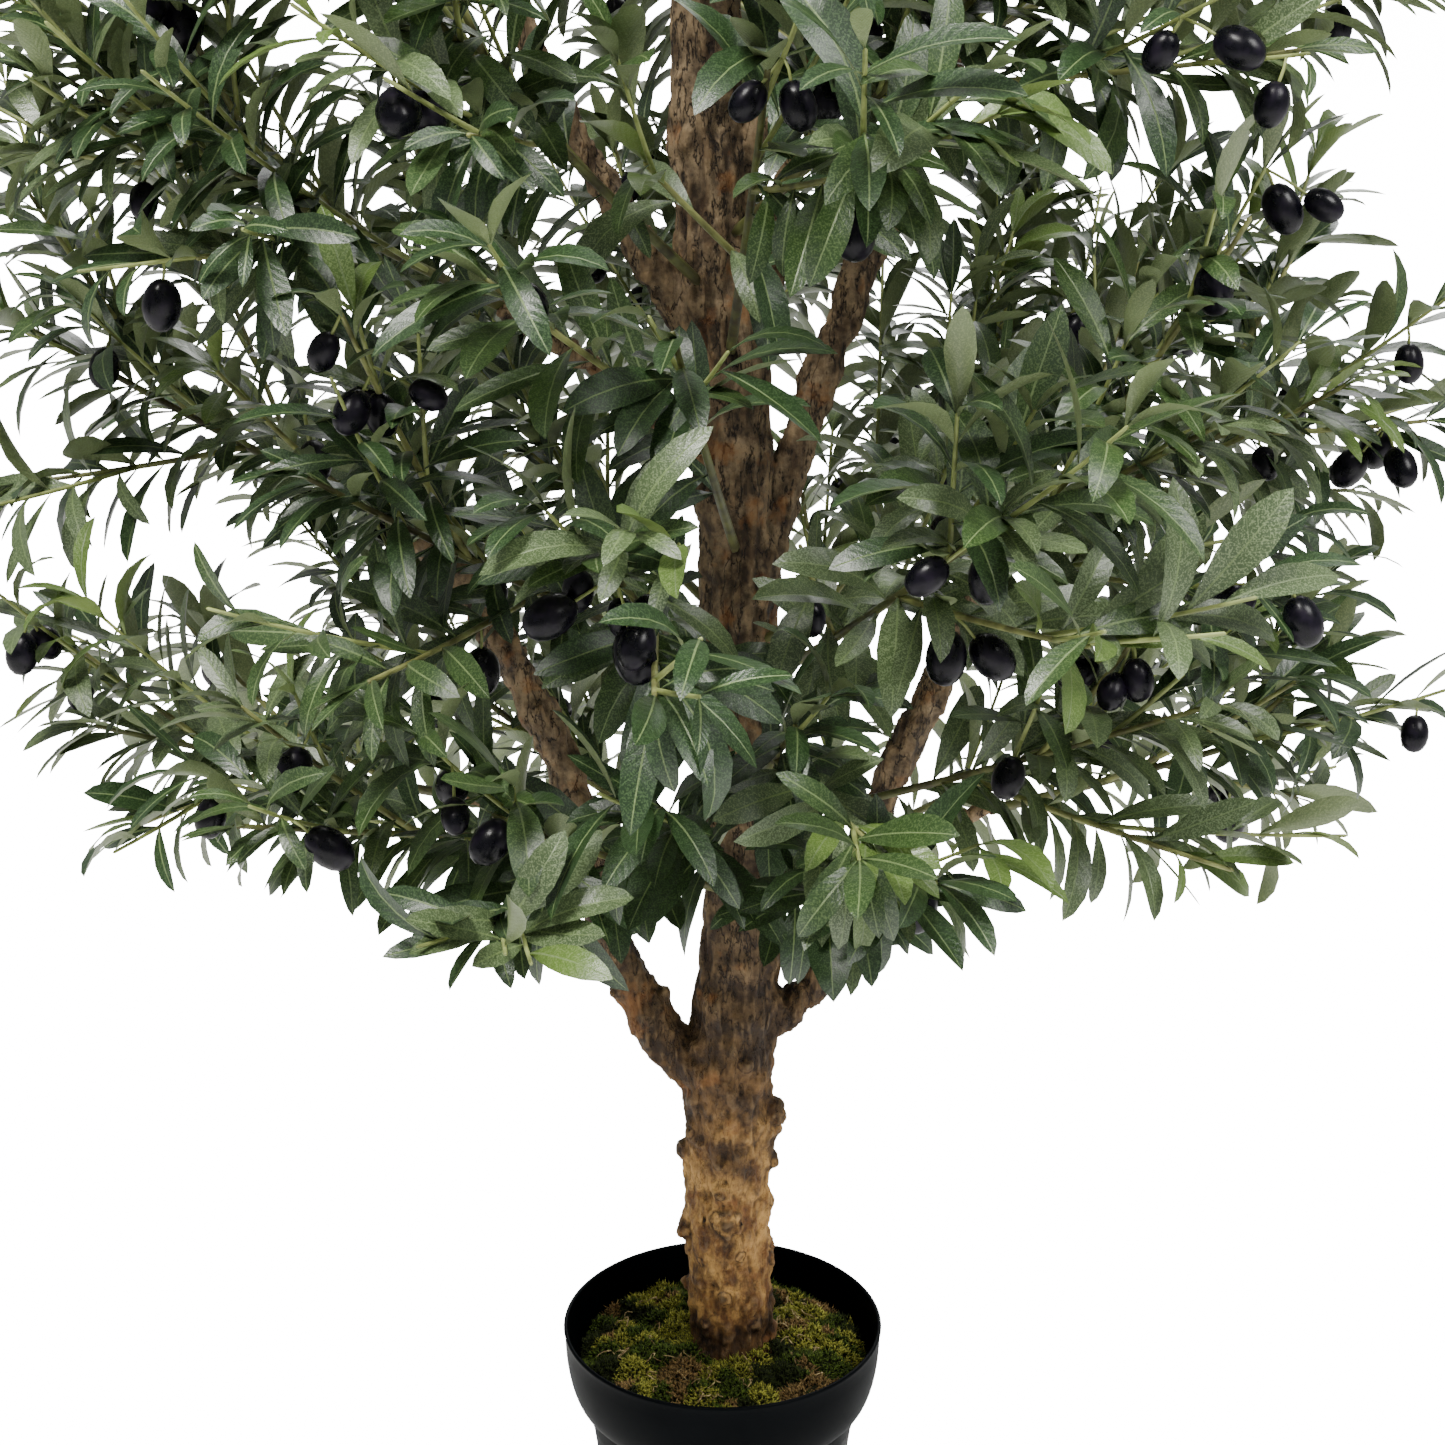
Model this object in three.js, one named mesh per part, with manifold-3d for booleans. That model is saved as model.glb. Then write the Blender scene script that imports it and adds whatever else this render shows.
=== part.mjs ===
// An artificial olive tree in a black plastic pot, in millimetres, +Z up.
// The origin is the middle of the pot's flat underside, and the tree's front faces -Y.
// A natural wood trunk stands on the pot's cement filling, under a layer of moss. Wooden boughs leave the trunk, and
// each mass of foliage grows from a bough's tip or from the trunk: one stem, shoots that leave it by a seeded rule,
// leaves in crossed pairs along the shoots, and black olives under them.
import * as THREE from "three";
import { mergeVertices } from "three/addons/utils/BufferGeometryUtils.js";
import Module from "manifold-3d";

const wasm = await Module();
wasm.setup();

const GAP = 0.3; // between pieces that meet
const DEGREE = Math.PI / 180;
const GOLDEN = 137.5; // from one shoot to the next round a stem

// Pot: a round tapered wall under a rim band that swells out in a quarter of an ellipse.
const POT = { height: 195, foot: 74, base: 4, wall: 3, underBand: 93, bandTop: 108.8, rim: 110, sides: 30 };
const EDGE = { foot: 2, underBand: 0.5, lipHigh: 3, lipIn: 1 }; // how far the pot's edges are broken
const BAND = { low: 139, high: 189, step: 1.5, levels: 4 };
const MOSS = { edgeRise: 2, crown: 181, clearOfTrunk: 0.6, shoulders: [0.93, 0.66, 0.42], shoulderRise: 0.7 };

// Trunk: [height, sideways, depth, radius] from the flat cut at its foot up to its top.
const TRUNK_LINE = [
  [154, 7, 0, 30.5],
  [205, 5, 0, 28.8],
  [300, 3, 0, 28.2],
  [372, 4, 0, 30.5],
  [430, 9, 0, 28.5],
  [475, 13, 0, 25.5],
  [700, 11, 2, 24],
  [830, 6, 1, 23.6],
  [930, -4, 0, 24.6],
  [1010, -11, 0, 21],
  [1180, -7, 2, 16],
  [1300, 0, 2, 12],
  [1400, 6, 0, 8.5],
];
const TRUNK = { sides: 11, steps: 28, spare: 2, flutes: [0.035, 0.03], winds: [9, -5] };
// Knots on the trunk: height, azimuth, radius and how far the knot's middle stands in from the bark.
const KNOTS = [
  { height: 356, azimuth: -8, radius: 9.5, inset: 2 },
  { height: 318, azimuth: -4, radius: 6.5, inset: 2.5 },
  { height: 327, azimuth: 188, radius: 6.5, inset: 2.5 },
  { height: 266, azimuth: 190, radius: 9, inset: 3.5 },
  { height: 226, azimuth: 184, radius: 7.5, inset: 3 },
  { height: 284, azimuth: 272, radius: 11, inset: 8 },
];

// Boughs: the limb that each leaves and the height or share of its length where, the azimuth (0 is right and 90 is
// back), the rise above the level at the foot, after the turn and at the tip, the share of the length that the turn
// takes, the length, and the radius at foot and tip.
const BOUGHS = [
  ["low_left_bough", "trunk", 362, 182, [44, 77, 56], 0.4, 435, [16, 10]],
  ["low_right_bough", "trunk", 414, 4, [14, 72, 64], 0.24, 380, [13, 9]],
  ["mid_right_bough", "trunk", 672, 18, [76, 70, 62], 0.4, 400, [13, 8.5]],
  ["mid_left_bough", "trunk", 776, 212, [42, 40, 30], 0.4, 200, [8.5, 6]],
  ["high_left_bough", "trunk", 838, 190, [56, 60, 70], 0.5, 290, [10.5, 7.5]],
  ["high_right_bough", "trunk", 948, 350, [56, 60, 62], 0.5, 230, [10, 7]],
  ["low_back_bough", "trunk", 545, 100, [50, 62, 60], 0.4, 280, [11, 7.5]],
  ["high_back_bough", "trunk", 790, 72, [50, 60, 60], 0.4, 270, [10, 7]],
  ["top_left_bough", "trunk", 1085, 160, [48, 58, 64], 0.4, 220, [8.5, 6]],
  ["top_right_bough", "trunk", 1130, 15, [48, 58, 64], 0.4, 210, [8, 6]],
  ["top_front_bough", "trunk", 1060, 262, [46, 56, 62], 0.4, 210, [8.5, 6]],
  ["top_back_bough", "trunk", 1105, 88, [48, 58, 62], 0.4, 210, [8, 6]],
  ["left_side_bough", "low_left_bough", 0.5, 196, [24, 22, 18], 0.4, 90, [7, 5]],
  ["right_side_bough", "low_right_bough", 0.42, 350, [26, 22, 16], 0.4, 90, [6.5, 5]],
];
const BOUGH = { sides: 7, step: 55, flutes: 0.05, winds: 7 };

// Masses of foliage: the limb that the stem grows from and the height where, or its tip, the azimuth and rise of the
// stem, how far the mass reaches from there, how many shoots leave the stem, and whether it is one of the few large
// sprays that stand out from the crown's flatter front.
const TIP = "tip";
const LARGE = true;
const MASSES = [
  ["low_left_leaves", "left_side_bough", TIP, 186, 12, 300, 4],
  ["low_right_leaves", "right_side_bough", TIP, 356, 16, 290, 4],
  ["low_front_left_leaves", "trunk", 515, 243, 24, 310, 3, LARGE],
  ["low_front_leaves", "trunk", 530, 261, 24, 300, 2, LARGE],
  ["low_front_right_leaves", "trunk", 520, 282, 17, 280, 2, LARGE],
  ["low_left_front_leaves", "trunk", 550, 220, 12, 400, 4],
  ["low_right_front_leaves", "trunk", 560, 314, 22, 400, 4],
  ["low_back_left_leaves", "trunk", 520, 140, 18, 400, 4],
  ["low_back_right_leaves", "trunk", 510, 36, 10, 420, 4],
  ["mid_front_leaves", "trunk", 580, 275, 23, 300, 3, LARGE],
  ["left_leaves", "low_left_bough", TIP, 176, 26, 320, 5],
  ["right_leaves", "low_right_bough", TIP, 4, 26, 320, 5],
  ["left_front_leaves", "trunk", 660, 228, 26, 420, 4],
  ["front_left_leaves", "trunk", 640, 258, 25, 360, 3, LARGE],
  ["front_right_leaves", "trunk", 650, 288, 24, 410, 3, LARGE],
  ["right_front_leaves", "trunk", 680, 314, 26, 420, 4],
  ["back_leaves", "low_back_bough", TIP, 92, 22, 300, 4],
  ["back_left_leaves", "trunk", 690, 134, 28, 440, 5],
  ["back_right_leaves", "trunk", 650, 46, 28, 440, 5],
  ["upper_front_leaves", "trunk", 740, 264, 27, 350, 2, LARGE],
  ["high_left_front_leaves", "mid_left_bough", TIP, 212, 26, 300, 5],
  ["high_left_leaves", "high_left_bough", TIP, 178, 24, 340, 5],
  ["high_right_leaves", "mid_right_bough", TIP, 14, 26, 330, 5],
  ["high_right_front_leaves", "high_right_bough", TIP, 330, 22, 350, 5],
  ["high_front_leaves", "trunk", 860, 273, 27, 350, 3, LARGE],
  ["high_front_left_leaves", "trunk", 900, 238, 30, 400, 4],
  ["high_front_right_leaves", "trunk", 930, 304, 30, 400, 4],
  ["high_back_leaves", "high_back_bough", TIP, 84, 26, 330, 5],
  ["top_left_leaves", "top_left_bough", TIP, 160, 44, 340, 4],
  ["top_right_leaves", "top_right_bough", TIP, 14, 44, 340, 4],
  ["top_front_leaves", "top_front_bough", TIP, 258, 42, 340, 4],
  ["top_back_leaves", "top_back_bough", TIP, 90, 44, 340, 4],
  ["crown_leaves", "trunk", TIP, 40, 84, 350, 5],
];
// Gaps in the foliage that open from a limb towards one place in front, so that the limb shows from there: the limb,
// the height or share of its length where, and the gap's radius.
const GAPS = [
  ["trunk", 630, 14],
  ["trunk", 710, 20],
  ["trunk", 750, 28],
  ["trunk", 805, 22],
  ["trunk", 890, 20],
  ["trunk", 950, 26],
  ["trunk", 1010, 26],
  ["low_left_bough", 0.6, 18],
  ["low_left_bough", 0.8, 20],
  ["low_right_bough", 0.6, 22],
  ["low_right_bough", 0.8, 20],
  ["mid_right_bough", 0.3, 20],
  ["mid_right_bough", 0.52, 22],
  ["high_left_bough", 0.3, 22],
  ["high_left_bough", 0.6, 22],
];
const GAP_LENGTH = 600;
const SEEN_FROM = new THREE.Vector3(0, -1410, 1040);
// The crown's outline: its widest level, the levels where it closes, how much higher it starts and how many times
// nearer it lies in front, how round it is below and above, and how far out shoots and leaves reach as shares of it.
const CROWN = {
  low: 480, waist: 950, top: 1800, radius: 475, frontLift: 0.2, frontFlat: 1.3, lowPower: 8, topPower: 2.2,
};
const REACH = { shoots: [0.82, 0.96], leaves: 1.02 };
const MIDDLE_SHARE = 0.8; // of a mass's reach, which the middle line of its space is long
const STEM = { radius: [7, 2.8], lift: 4, rootShare: 0.6, tipSink: 2, firstShoot: 0.16, lastShoot: 0.66, bare: 0.45 };
const SHOOT = { radius: [2.8, 2.6], spread: [62, 34], flat: 0.8, lift: 7, long: [0.8, 0.5], least: 80, bare: 0.25 };
const JITTER = { turn: 50, length: 0.3, lean: 16, size: 0.16 }; // the whole width that a seeded number spreads
const TWIG = { sides: 3, step: 120 };
const TRIAL = 15; // between the places of a shoot's line that are tried for room
const TRUNK_CLEAR = 40; // from where a stem leaves its limb to where it has to be clear of the limbs
const LEAF = { length: 140, width: 38, thick: 3, widest: 0.42, sunk: 0.8, joint: 0.12, every: 96, sizes: [1.02, 0.82] };
const LEAN = { side: 44, tip: 4, tries: [1, 0.6, 0.25], droop: 0.15, upright: 1.2, lastPair: 0.96 };
const OLIVE = { length: 28, width: 21, every: 2, stalk: 10, stalkRadius: 1.6, sunk: 2, along: [0.4, 0.75] };
const ROOM = 2.5; // that a shoot or leaf keeps from limbs and from the spaces of other masses
const SEED = { lines: 101, linesStep: 7919, leaves: 57, leavesStep: 104729 };

// Numbers from 0 to 1, the same at every run.
function seeded(seed) {
  let state = seed >>> 0;
  return () => {
    state = (Math.imul(state, 1664525) + 1013904223) >>> 0;
    return state / 4294967296;
  };
}

const mix = (a, b, t) => a + (b - a) * t;
const smooth = (t) => t * t * (3 - 2 * t);

function heading(azimuth, rise) {
  const level = Math.cos(rise * DEGREE);
  const x = level * Math.cos(azimuth * DEGREE);
  const y = level * Math.sin(azimuth * DEGREE);
  return new THREE.Vector3(x, y, Math.sin(rise * DEGREE));
}

// A line of points a step apart, at one azimuth, whose rise is a function of the share of the length.
function grow(from, azimuth, riseAt, length, step) {
  const count = Math.max(2, Math.round(length / step));
  const points = [from.clone()];
  for (let i = 0; i < count; i++) {
    points.push(points[i].clone().addScaledVector(heading(azimuth, riseAt((i + 0.5) / count)), length / count));
  }
  return points;
}

// A direction and two directions across it for each point of a line, turned least from point to point.
function framesOf(points) {
  const frames = [];
  points.forEach((point, i) => {
    const before = points[Math.max(0, i - 1)];
    const after = points[Math.min(points.length - 1, i + 1)];
    const ahead = after.clone().sub(before).normalize();
    const upright = Math.abs(ahead.z) > 0.9 ? new THREE.Vector3(1, 0, 0) : new THREE.Vector3(0, 0, 1);
    const side = i ? frames[i - 1].side.clone() : new THREE.Vector3().crossVectors(ahead, upright);
    side.addScaledVector(ahead, -side.dot(ahead)).normalize();
    frames.push({ point, ahead, side, over: new THREE.Vector3().crossVectors(side, ahead) });
  });
  return frames;
}

// The frame part of the way along a line.
function along(frames, share) {
  const place = THREE.MathUtils.clamp(share, 0, 1) * (frames.length - 1);
  const i = Math.min(Math.floor(place), frames.length - 2);
  const point = frames[i].point.clone().lerp(frames[i + 1].point, place - i);
  const nearest = frames[Math.round(place)];
  return { point, ahead: nearest.ahead, side: nearest.side, over: nearest.over };
}

// A closed bar of some sides that follows a line, its radius a function of the share of the length and the angle.
function bar(points, sides, radiusAt) {
  const steps = points.length - 1;
  const frames = framesOf(points);
  const shape = new THREE.CylinderGeometry(1, 1, 1, sides, steps);
  const position = shape.getAttribute("position");
  for (let v = 0; v < position.count; v++) {
    const x = position.getX(v);
    const z = position.getZ(v);
    const i = Math.round((position.getY(v) + 0.5) * steps);
    const { point, side, over } = frames[i];
    const angle = Math.atan2(z, x);
    const radius = Math.hypot(x, z) * radiusAt(i / steps, angle);
    const spot = point.clone().addScaledVector(side, Math.cos(angle) * radius);
    spot.addScaledVector(over, -Math.sin(angle) * radius);
    position.setXYZ(v, spot.x, spot.y, spot.z);
  }
  return shape;
}

// A closed geometry as a solid that can be joined and cut.
function solidOf(geometry) {
  const bare = new THREE.BufferGeometry();
  bare.setAttribute("position", geometry.getAttribute("position"));
  bare.setIndex(geometry.index);
  const merged = mergeVertices(bare, 1e-3);
  const vertProperties = new Float32Array(merged.getAttribute("position").array);
  const triVerts = new Uint32Array(merged.index.array);
  const solid = new wasm.Manifold(new wasm.Mesh({ numProp: 3, vertProperties, triVerts }));
  if (solid.volume() >= 0) return solid;
  for (let i = 0; i < triVerts.length; i += 3) triVerts.subarray(i, i + 2).reverse();
  return new wasm.Manifold(new wasm.Mesh({ numProp: 3, vertProperties, triVerts }));
}

// The largest piece of a solid, without the loose scraps that a cut leaves.
const largest = (solid) => solid.decompose().reduce((a, b) => (b.volume() > a.volume() ? b : a));

function geometryOf(solid) {
  const { vertProperties, triVerts } = solid.getMesh();
  const geometry = new THREE.BufferGeometry();
  geometry.setAttribute("position", new THREE.BufferAttribute(new Float32Array(vertProperties), 3));
  geometry.setIndex(new THREE.BufferAttribute(new Uint32Array(triVerts), 1));
  geometry.computeVertexNormals();
  return geometry;
}

const plastic = new THREE.MeshStandardMaterial({ color: 0x16181a, roughness: 0.45, metalness: 0 });
const cement = new THREE.MeshStandardMaterial({ color: 0x8a8680, roughness: 0.9, metalness: 0 });
const mossGreen = new THREE.MeshStandardMaterial({ color: 0x48531f, roughness: 0.95, metalness: 0 });
const bark = new THREE.MeshStandardMaterial({ color: 0x6e5236, roughness: 0.85, metalness: 0 });
const leafGreen = new THREE.MeshStandardMaterial({ color: 0x35492f, roughness: 0.55, flatShading: true });

const tree = new THREE.Group();
tree.name = "olive_tree";

function place(name, geometry, material) {
  const mesh = new THREE.Mesh(geometry, material);
  mesh.name = name;
  tree.add(mesh);
}

// A lathe turned about +Z from a profile of [radius, height].
function turned(profile) {
  const points = profile.map(([radius, height]) => new THREE.Vector2(radius, height));
  return new THREE.LatheGeometry(points, POT.sides).rotateX(Math.PI / 2);
}

// The heights of the band's rings, and the pot's inner wall at each.
const bandRings = Array.from({ length: BAND.levels + 1 }, (_, i) => {
  const angle = (i / BAND.levels) * 90 * DEGREE;
  const radius = mix(POT.underBand + BAND.step, POT.bandTop, Math.sin(angle));
  return [radius, mix(BAND.low, BAND.high, 1 - Math.cos(angle))];
});
const innerWall = [
  [mix(POT.foot, POT.underBand, POT.base / BAND.low) - POT.wall, POT.base],
  [POT.underBand - POT.wall, BAND.low],
  ...bandRings.slice(1).map(([radius, height]) => [radius - POT.wall, height]),
];
const fillTop = bandRings[2][1];
const mossEdge = bandRings[3][1];
const inset = ([radius, height]) => [radius - GAP * 2, height];

function buildPot() {
  const outside = [
    [0, 0],
    [POT.foot - EDGE.foot, 0],
    [POT.foot, EDGE.foot],
    [POT.underBand, BAND.low - EDGE.underBand],
    ...bandRings,
    [POT.rim, POT.height - EDGE.lipHigh],
    [POT.rim - EDGE.lipIn, POT.height],
  ];
  const lip = [POT.rim - POT.wall - EDGE.lipIn, POT.height];
  place("pot", turned([...outside, lip, ...innerWall.slice().reverse(), [0, POT.base]]), plastic);
}

function buildFilling() {
  const [foot, ...walls] = innerWall.slice(0, 4).map(inset);
  place("pot_filling", turned([[0, POT.base + GAP], [foot[0], POT.base + GAP], ...walls, [0, fillTop]]), cement);
}

// The moss: a low mound on the filling, cut clear of the trunk.
function buildMoss() {
  const low = inset(innerWall[3]);
  const edge = inset(innerWall[4]);
  const profile = [
    [0, fillTop + GAP],
    [low[0], fillTop + GAP],
    edge,
    [edge[0] * MOSS.shoulders[0], mossEdge + MOSS.edgeRise],
    [edge[0] * MOSS.shoulders[1], mix(mossEdge, MOSS.crown, MOSS.shoulderRise)],
    [edge[0] * MOSS.shoulders[2], MOSS.crown],
    [0, MOSS.crown],
  ];
  const mound = solidOf(turned(profile));
  place("moss", geometryOf(largest(mound.subtract(trunkSolid(MOSS.clearOfTrunk)))), mossGreen);
}

// The trunk's middle and radius at a height.
function trunkAt(height) {
  const above = TRUNK_LINE.findIndex(([z]) => z > height);
  const next = above < 0 ? TRUNK_LINE.length - 1 : Math.max(1, above);
  const [za, xa, ya, ra] = TRUNK_LINE[next - 1];
  const [zb, xb, yb, rb] = TRUNK_LINE[next];
  const t = smooth((height - za) / (zb - za));
  return { point: new THREE.Vector3(mix(xa, xb, t), mix(ya, yb, t), height), radius: mix(ra, rb, t) };
}

const trunkFoot = TRUNK_LINE[0][0];
const trunkTop = TRUNK_LINE.at(-1)[0];
const trunkPoints = Array.from({ length: TRUNK.steps + 1 }, (_, i) => {
  return trunkAt(mix(trunkFoot - TRUNK.spare, trunkTop, i / TRUNK.steps)).point;
});

// The trunk, grown by an amount, with shallow flutes that wind up it and with its knots.
function trunkSolid(grown) {
  const radiusAt = (t, angle) => {
    const three = TRUNK.flutes[0] * Math.cos(3 * angle + TRUNK.winds[0] * t);
    const two = TRUNK.flutes[1] * Math.cos(2 * angle + TRUNK.winds[1] * t);
    return trunkAt(mix(trunkFoot, trunkTop, t)).radius * (1 + three + two) + grown;
  };
  const knots = KNOTS.map((knot) => {
    const { point, radius } = trunkAt(knot.height);
    point.addScaledVector(heading(knot.azimuth, 0), radius - knot.inset);
    return solidOf(new THREE.IcosahedronGeometry(knot.radius + grown, 1).translate(point.x, point.y, point.z));
  });
  const whole = knots.reduce((joined, knot) => joined.add(knot), solidOf(bar(trunkPoints, TRUNK.sides, radiusAt)));
  return whole.trimByPlane([0, 0, 1], trunkFoot - grown * 2);
}

// Each limb by name: the frames along it, the radius at each, and its solid grown by the gap.
const limbs = new Map();

function addLimb(name, points, radii, solid, grown) {
  limbs.set(name, { frames: framesOf(points), radii, grown });
  place(name, geometryOf(solid), bark);
}

function buildTrunk() {
  const radii = trunkPoints.map((point) => trunkAt(point.z).radius);
  addLimb("trunk", trunkPoints, radii, trunkSolid(0), trunkSolid(GAP));
}

function buildBough([name, on, at, azimuth, rise, turn, length, radius]) {
  const from = on === "trunk" ? trunkAt(at).point : along(limbs.get(on).frames, at).point;
  const riseAt = (t) => {
    if (t < turn) return mix(rise[0], rise[1], smooth(t / turn));
    return mix(rise[1], rise[2], smooth((t - turn) / (1 - turn)));
  };
  const points = grow(from, azimuth, riseAt, length, BOUGH.step);
  const radii = points.map((_, i) => mix(radius[0], radius[1], i / (points.length - 1)));
  const radiusAt = (t, angle) => {
    return mix(radius[0], radius[1], t) * (1 + BOUGH.flutes * Math.cos(2 * angle + BOUGH.winds * t));
  };
  const longer = points.slice();
  longer.push(longer.pop().clone().addScaledVector(framesOf(points).at(-1).ahead, GAP));
  const grown = solidOf(bar(longer, BOUGH.sides, (t, angle) => radiusAt(t, angle) + GAP));
  const solid = solidOf(bar(points, BOUGH.sides, radiusAt)).subtract(limbs.get(on).grown);
  addLimb(name, points, radii, largest(solid), grown);
}

// How far the crown reaches from the axis at a point's height.
function crownRadius(point) {
  const height = point.z + Math.min(point.y, 0) * CROWN.frontLift;
  const low = height < CROWN.waist;
  const far = low ? CROWN.waist - CROWN.low : CROWN.top - CROWN.waist;
  const share = Math.min(1, Math.abs(height - CROWN.waist) / far);
  return CROWN.radius * Math.sqrt(1 - share ** (low ? CROWN.lowPower : CROWN.topPower));
}

function distanceToLine(point, from, to) {
  return new THREE.Line3(from, to).closestPointToPoint(point, true, new THREE.Vector3()).distanceTo(point);
}

// The least room between a point and the bark of any limb.
function roomToLimbs(point) {
  let least = Infinity;
  for (const { frames, radii } of limbs.values()) {
    for (let i = 0; i + 1 < frames.length; i++) {
      const bulge = Math.max(radii[i], radii[i + 1]) * (1 + TRUNK.flutes[0] + TRUNK.flutes[1]);
      least = Math.min(least, distanceToLine(point, frames[i].point, frames[i + 1].point) - bulge);
    }
  }
  return least;
}

// Where a mass's stem starts: sunk into the trunk, or at the middle of a limb's tip.
function rootOf({ on, at, azimuth }) {
  if (at !== TIP) {
    const { point, radius } = trunkAt(at);
    return point.addScaledVector(heading(azimuth, 0), radius * STEM.rootShare);
  }
  const { point, ahead } = limbs.get(on).frames.at(-1);
  return point.clone().addScaledVector(ahead, -STEM.tipSink);
}

// The middle line of each mass: its own space is all that lies nearer to its line than to any other mass's.
const middles = new Map();

// The middle line and radius of each gap.
const gaps = [];

function layOutSpaces(masses) {
  for (const mass of masses) {
    const root = rootOf(mass);
    const far = root.clone().addScaledVector(heading(mass.azimuth, mass.rise), mass.reach * MIDDLE_SHARE);
    middles.set(mass.name, [root, far]);
  }
  for (const [on, at, radius] of GAPS) {
    const { point } = on === "trunk" ? trunkAt(at) : along(limbs.get(on).frames, at);
    const towards = SEEN_FROM.clone().sub(point).setLength(GAP_LENGTH);
    gaps.push({ from: point, to: point.clone().add(towards), radius });
  }
}

function inOwnSpace(point, mass) {
  const own = distanceToLine(point, ...middles.get(mass.name));
  for (const [name, line] of middles) {
    if (name !== mass.name && distanceToLine(point, ...line) < own + ROOM * 2) return false;
  }
  return true;
}

function inCrown(point, reach, mass) {
  const depth = mass.large ? point.y : Math.max(point.y, point.y * CROWN.frontFlat * -1);
  return Math.hypot(point.x, depth) < crownRadius(point) * reach;
}

const inGap = (point) => gaps.some(({ from, to, radius }) => distanceToLine(point, from, to) < radius);
const fits = (point, mass) => inOwnSpace(point, mass) && roomToLimbs(point) > ROOM && !inGap(point);

// A leaf: a flat blade over a keel, with its root at the origin, its tip along +X and its upper side towards +Z.
const BLADE = {
  corners: [-1, 0, 0, 1, 0, 0, 0, 1, 0, 0, -1, 0, 0, 0, -1], // root, tip, left, right, keel
  faces: [0, 3, 2, 1, 2, 3, 0, 2, 4, 0, 4, 3, 1, 4, 2, 1, 3, 4],
};

function blade(length, width) {
  const leaf = new THREE.PolyhedronGeometry(BLADE.corners, BLADE.faces);
  const position = leaf.getAttribute("position");
  for (let v = 0; v < position.count; v++) {
    const x = position.getX(v);
    const share = x < -0.5 ? 0 : x > 0.5 ? 1 : LEAF.widest;
    position.setXYZ(v, share * length, (position.getY(v) * width) / 2, position.getZ(v) * LEAF.thick);
  }
  return leaf;
}

// A matrix with its origin at a point that takes +X to a direction and +Z as near to up as it can.
function poseAt(point, ahead, up) {
  const side = new THREE.Vector3().crossVectors(up, ahead).normalize();
  const over = new THREE.Vector3().crossVectors(ahead, side);
  return new THREE.Matrix4().makeBasis(ahead, side, over).setPosition(point);
}

// Places on a blade, as shares of its length and width, that have to fit.
const BLADE_CHECKS = [
  [0.2, 0.2],
  [0.2, -0.2],
  [LEAF.widest, 0.5],
  [LEAF.widest, -0.5],
  [0.7, 0.25],
  [0.7, -0.25],
  [1, 0],
];

function leafFits(pose, length, width, mass) {
  return BLADE_CHECKS.every(([x, y]) => {
    const point = new THREE.Vector3(x * length, y * width, 0).applyMatrix4(pose);
    return inCrown(point, REACH.leaves, mass) && fits(point, mass);
  });
}

// A leaf's pose: it leans out from its shoot, less and less until it fits, or else there is none.
function leafPose(mass, { point, ahead }, out, lean, length, width) {
  for (const share of LEAN.tries) {
    const way = ahead.clone().multiplyScalar(Math.cos(lean * share)).addScaledVector(out, Math.sin(lean * share));
    way.z -= LEAN.droop * share;
    way.normalize();
    const root = point.clone().addScaledVector(way, -LEAF.sunk);
    const pose = poseAt(root, way, ahead.clone().add(new THREE.Vector3(0, 0, LEAN.upright)));
    if (leafFits(pose, length, width, mass)) return pose;
  }
  return null;
}

// Leaves in crossed pairs along a line, from its four sides in turn, and one more at its tip. A leaf that would cross
// another or a twig beyond its root is left out.
function addLeaves(mass, points, bare, random, whole) {
  const frames = framesOf(points);
  const pairs = Math.max(1, Math.round((lengthOf(points) * (1 - bare)) / LEAF.every));
  let joined = whole;
  for (let i = 0; i <= pairs; i++) {
    const t = mix(bare, LEAN.lastPair, i / pairs);
    const spot = along(frames, t);
    const out = spot.side.clone().addScaledVector(spot.over, i % 2 ? 1 : -1).normalize();
    const size = mix(...LEAF.sizes, t) * (1 + JITTER.size * (random() - 0.5));
    const length = LEAF.length * size;
    const width = LEAF.width * size;
    for (const half of i === pairs ? [1, -1, 0] : [1, -1]) {
      const lean = (half ? LEAN.side + JITTER.lean * (random() - 0.5) : LEAN.tip) * DEGREE;
      const pose = leafPose(mass, spot, out.clone().multiplyScalar(half || 1), lean, length, width);
      if (!pose) continue;
      const free = blade(length * (1 - LEAF.joint), width).translate(length * LEAF.joint, 0, 0);
      if (!joined.intersect(solidOf(free.applyMatrix4(pose))).isEmpty()) continue;
      joined = joined.add(solidOf(blade(length, width).applyMatrix4(pose)));
    }
  }
  return joined;
}

// An olive that hangs under a line on a short stalk, where there is room for it.
function addOlive(mass, points, random, whole) {
  const { point, side } = along(framesOf(points), mix(...OLIVE.along, random()));
  const down = new THREE.Vector3(0, 0, -1).addScaledVector(side, random() - 0.5).normalize();
  const middle = point.clone().addScaledVector(down, OLIVE.stalk + OLIVE.length / 2 - OLIVE.sunk);
  const bottom = middle.clone().addScaledVector(down, OLIVE.length / 2);
  const shape = new THREE.IcosahedronGeometry(1, 0).scale(OLIVE.length / 2, OLIVE.width / 2, OLIVE.width / 2);
  const fruit = solidOf(shape.applyMatrix4(poseAt(middle, down, side)));
  if (!fits(middle, mass) || !fits(bottom, mass) || !whole.intersect(fruit).isEmpty()) return whole;
  const stalkEnd = point.clone().addScaledVector(down, OLIVE.stalk + OLIVE.sunk);
  return whole.add(solidOf(bar([point, stalkEnd], TWIG.sides, () => OLIVE.stalkRadius))).add(fruit);
}

const lengthOf = (points) => points.slice(1).reduce((sum, point, i) => sum + point.distanceTo(points[i]), 0);

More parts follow.
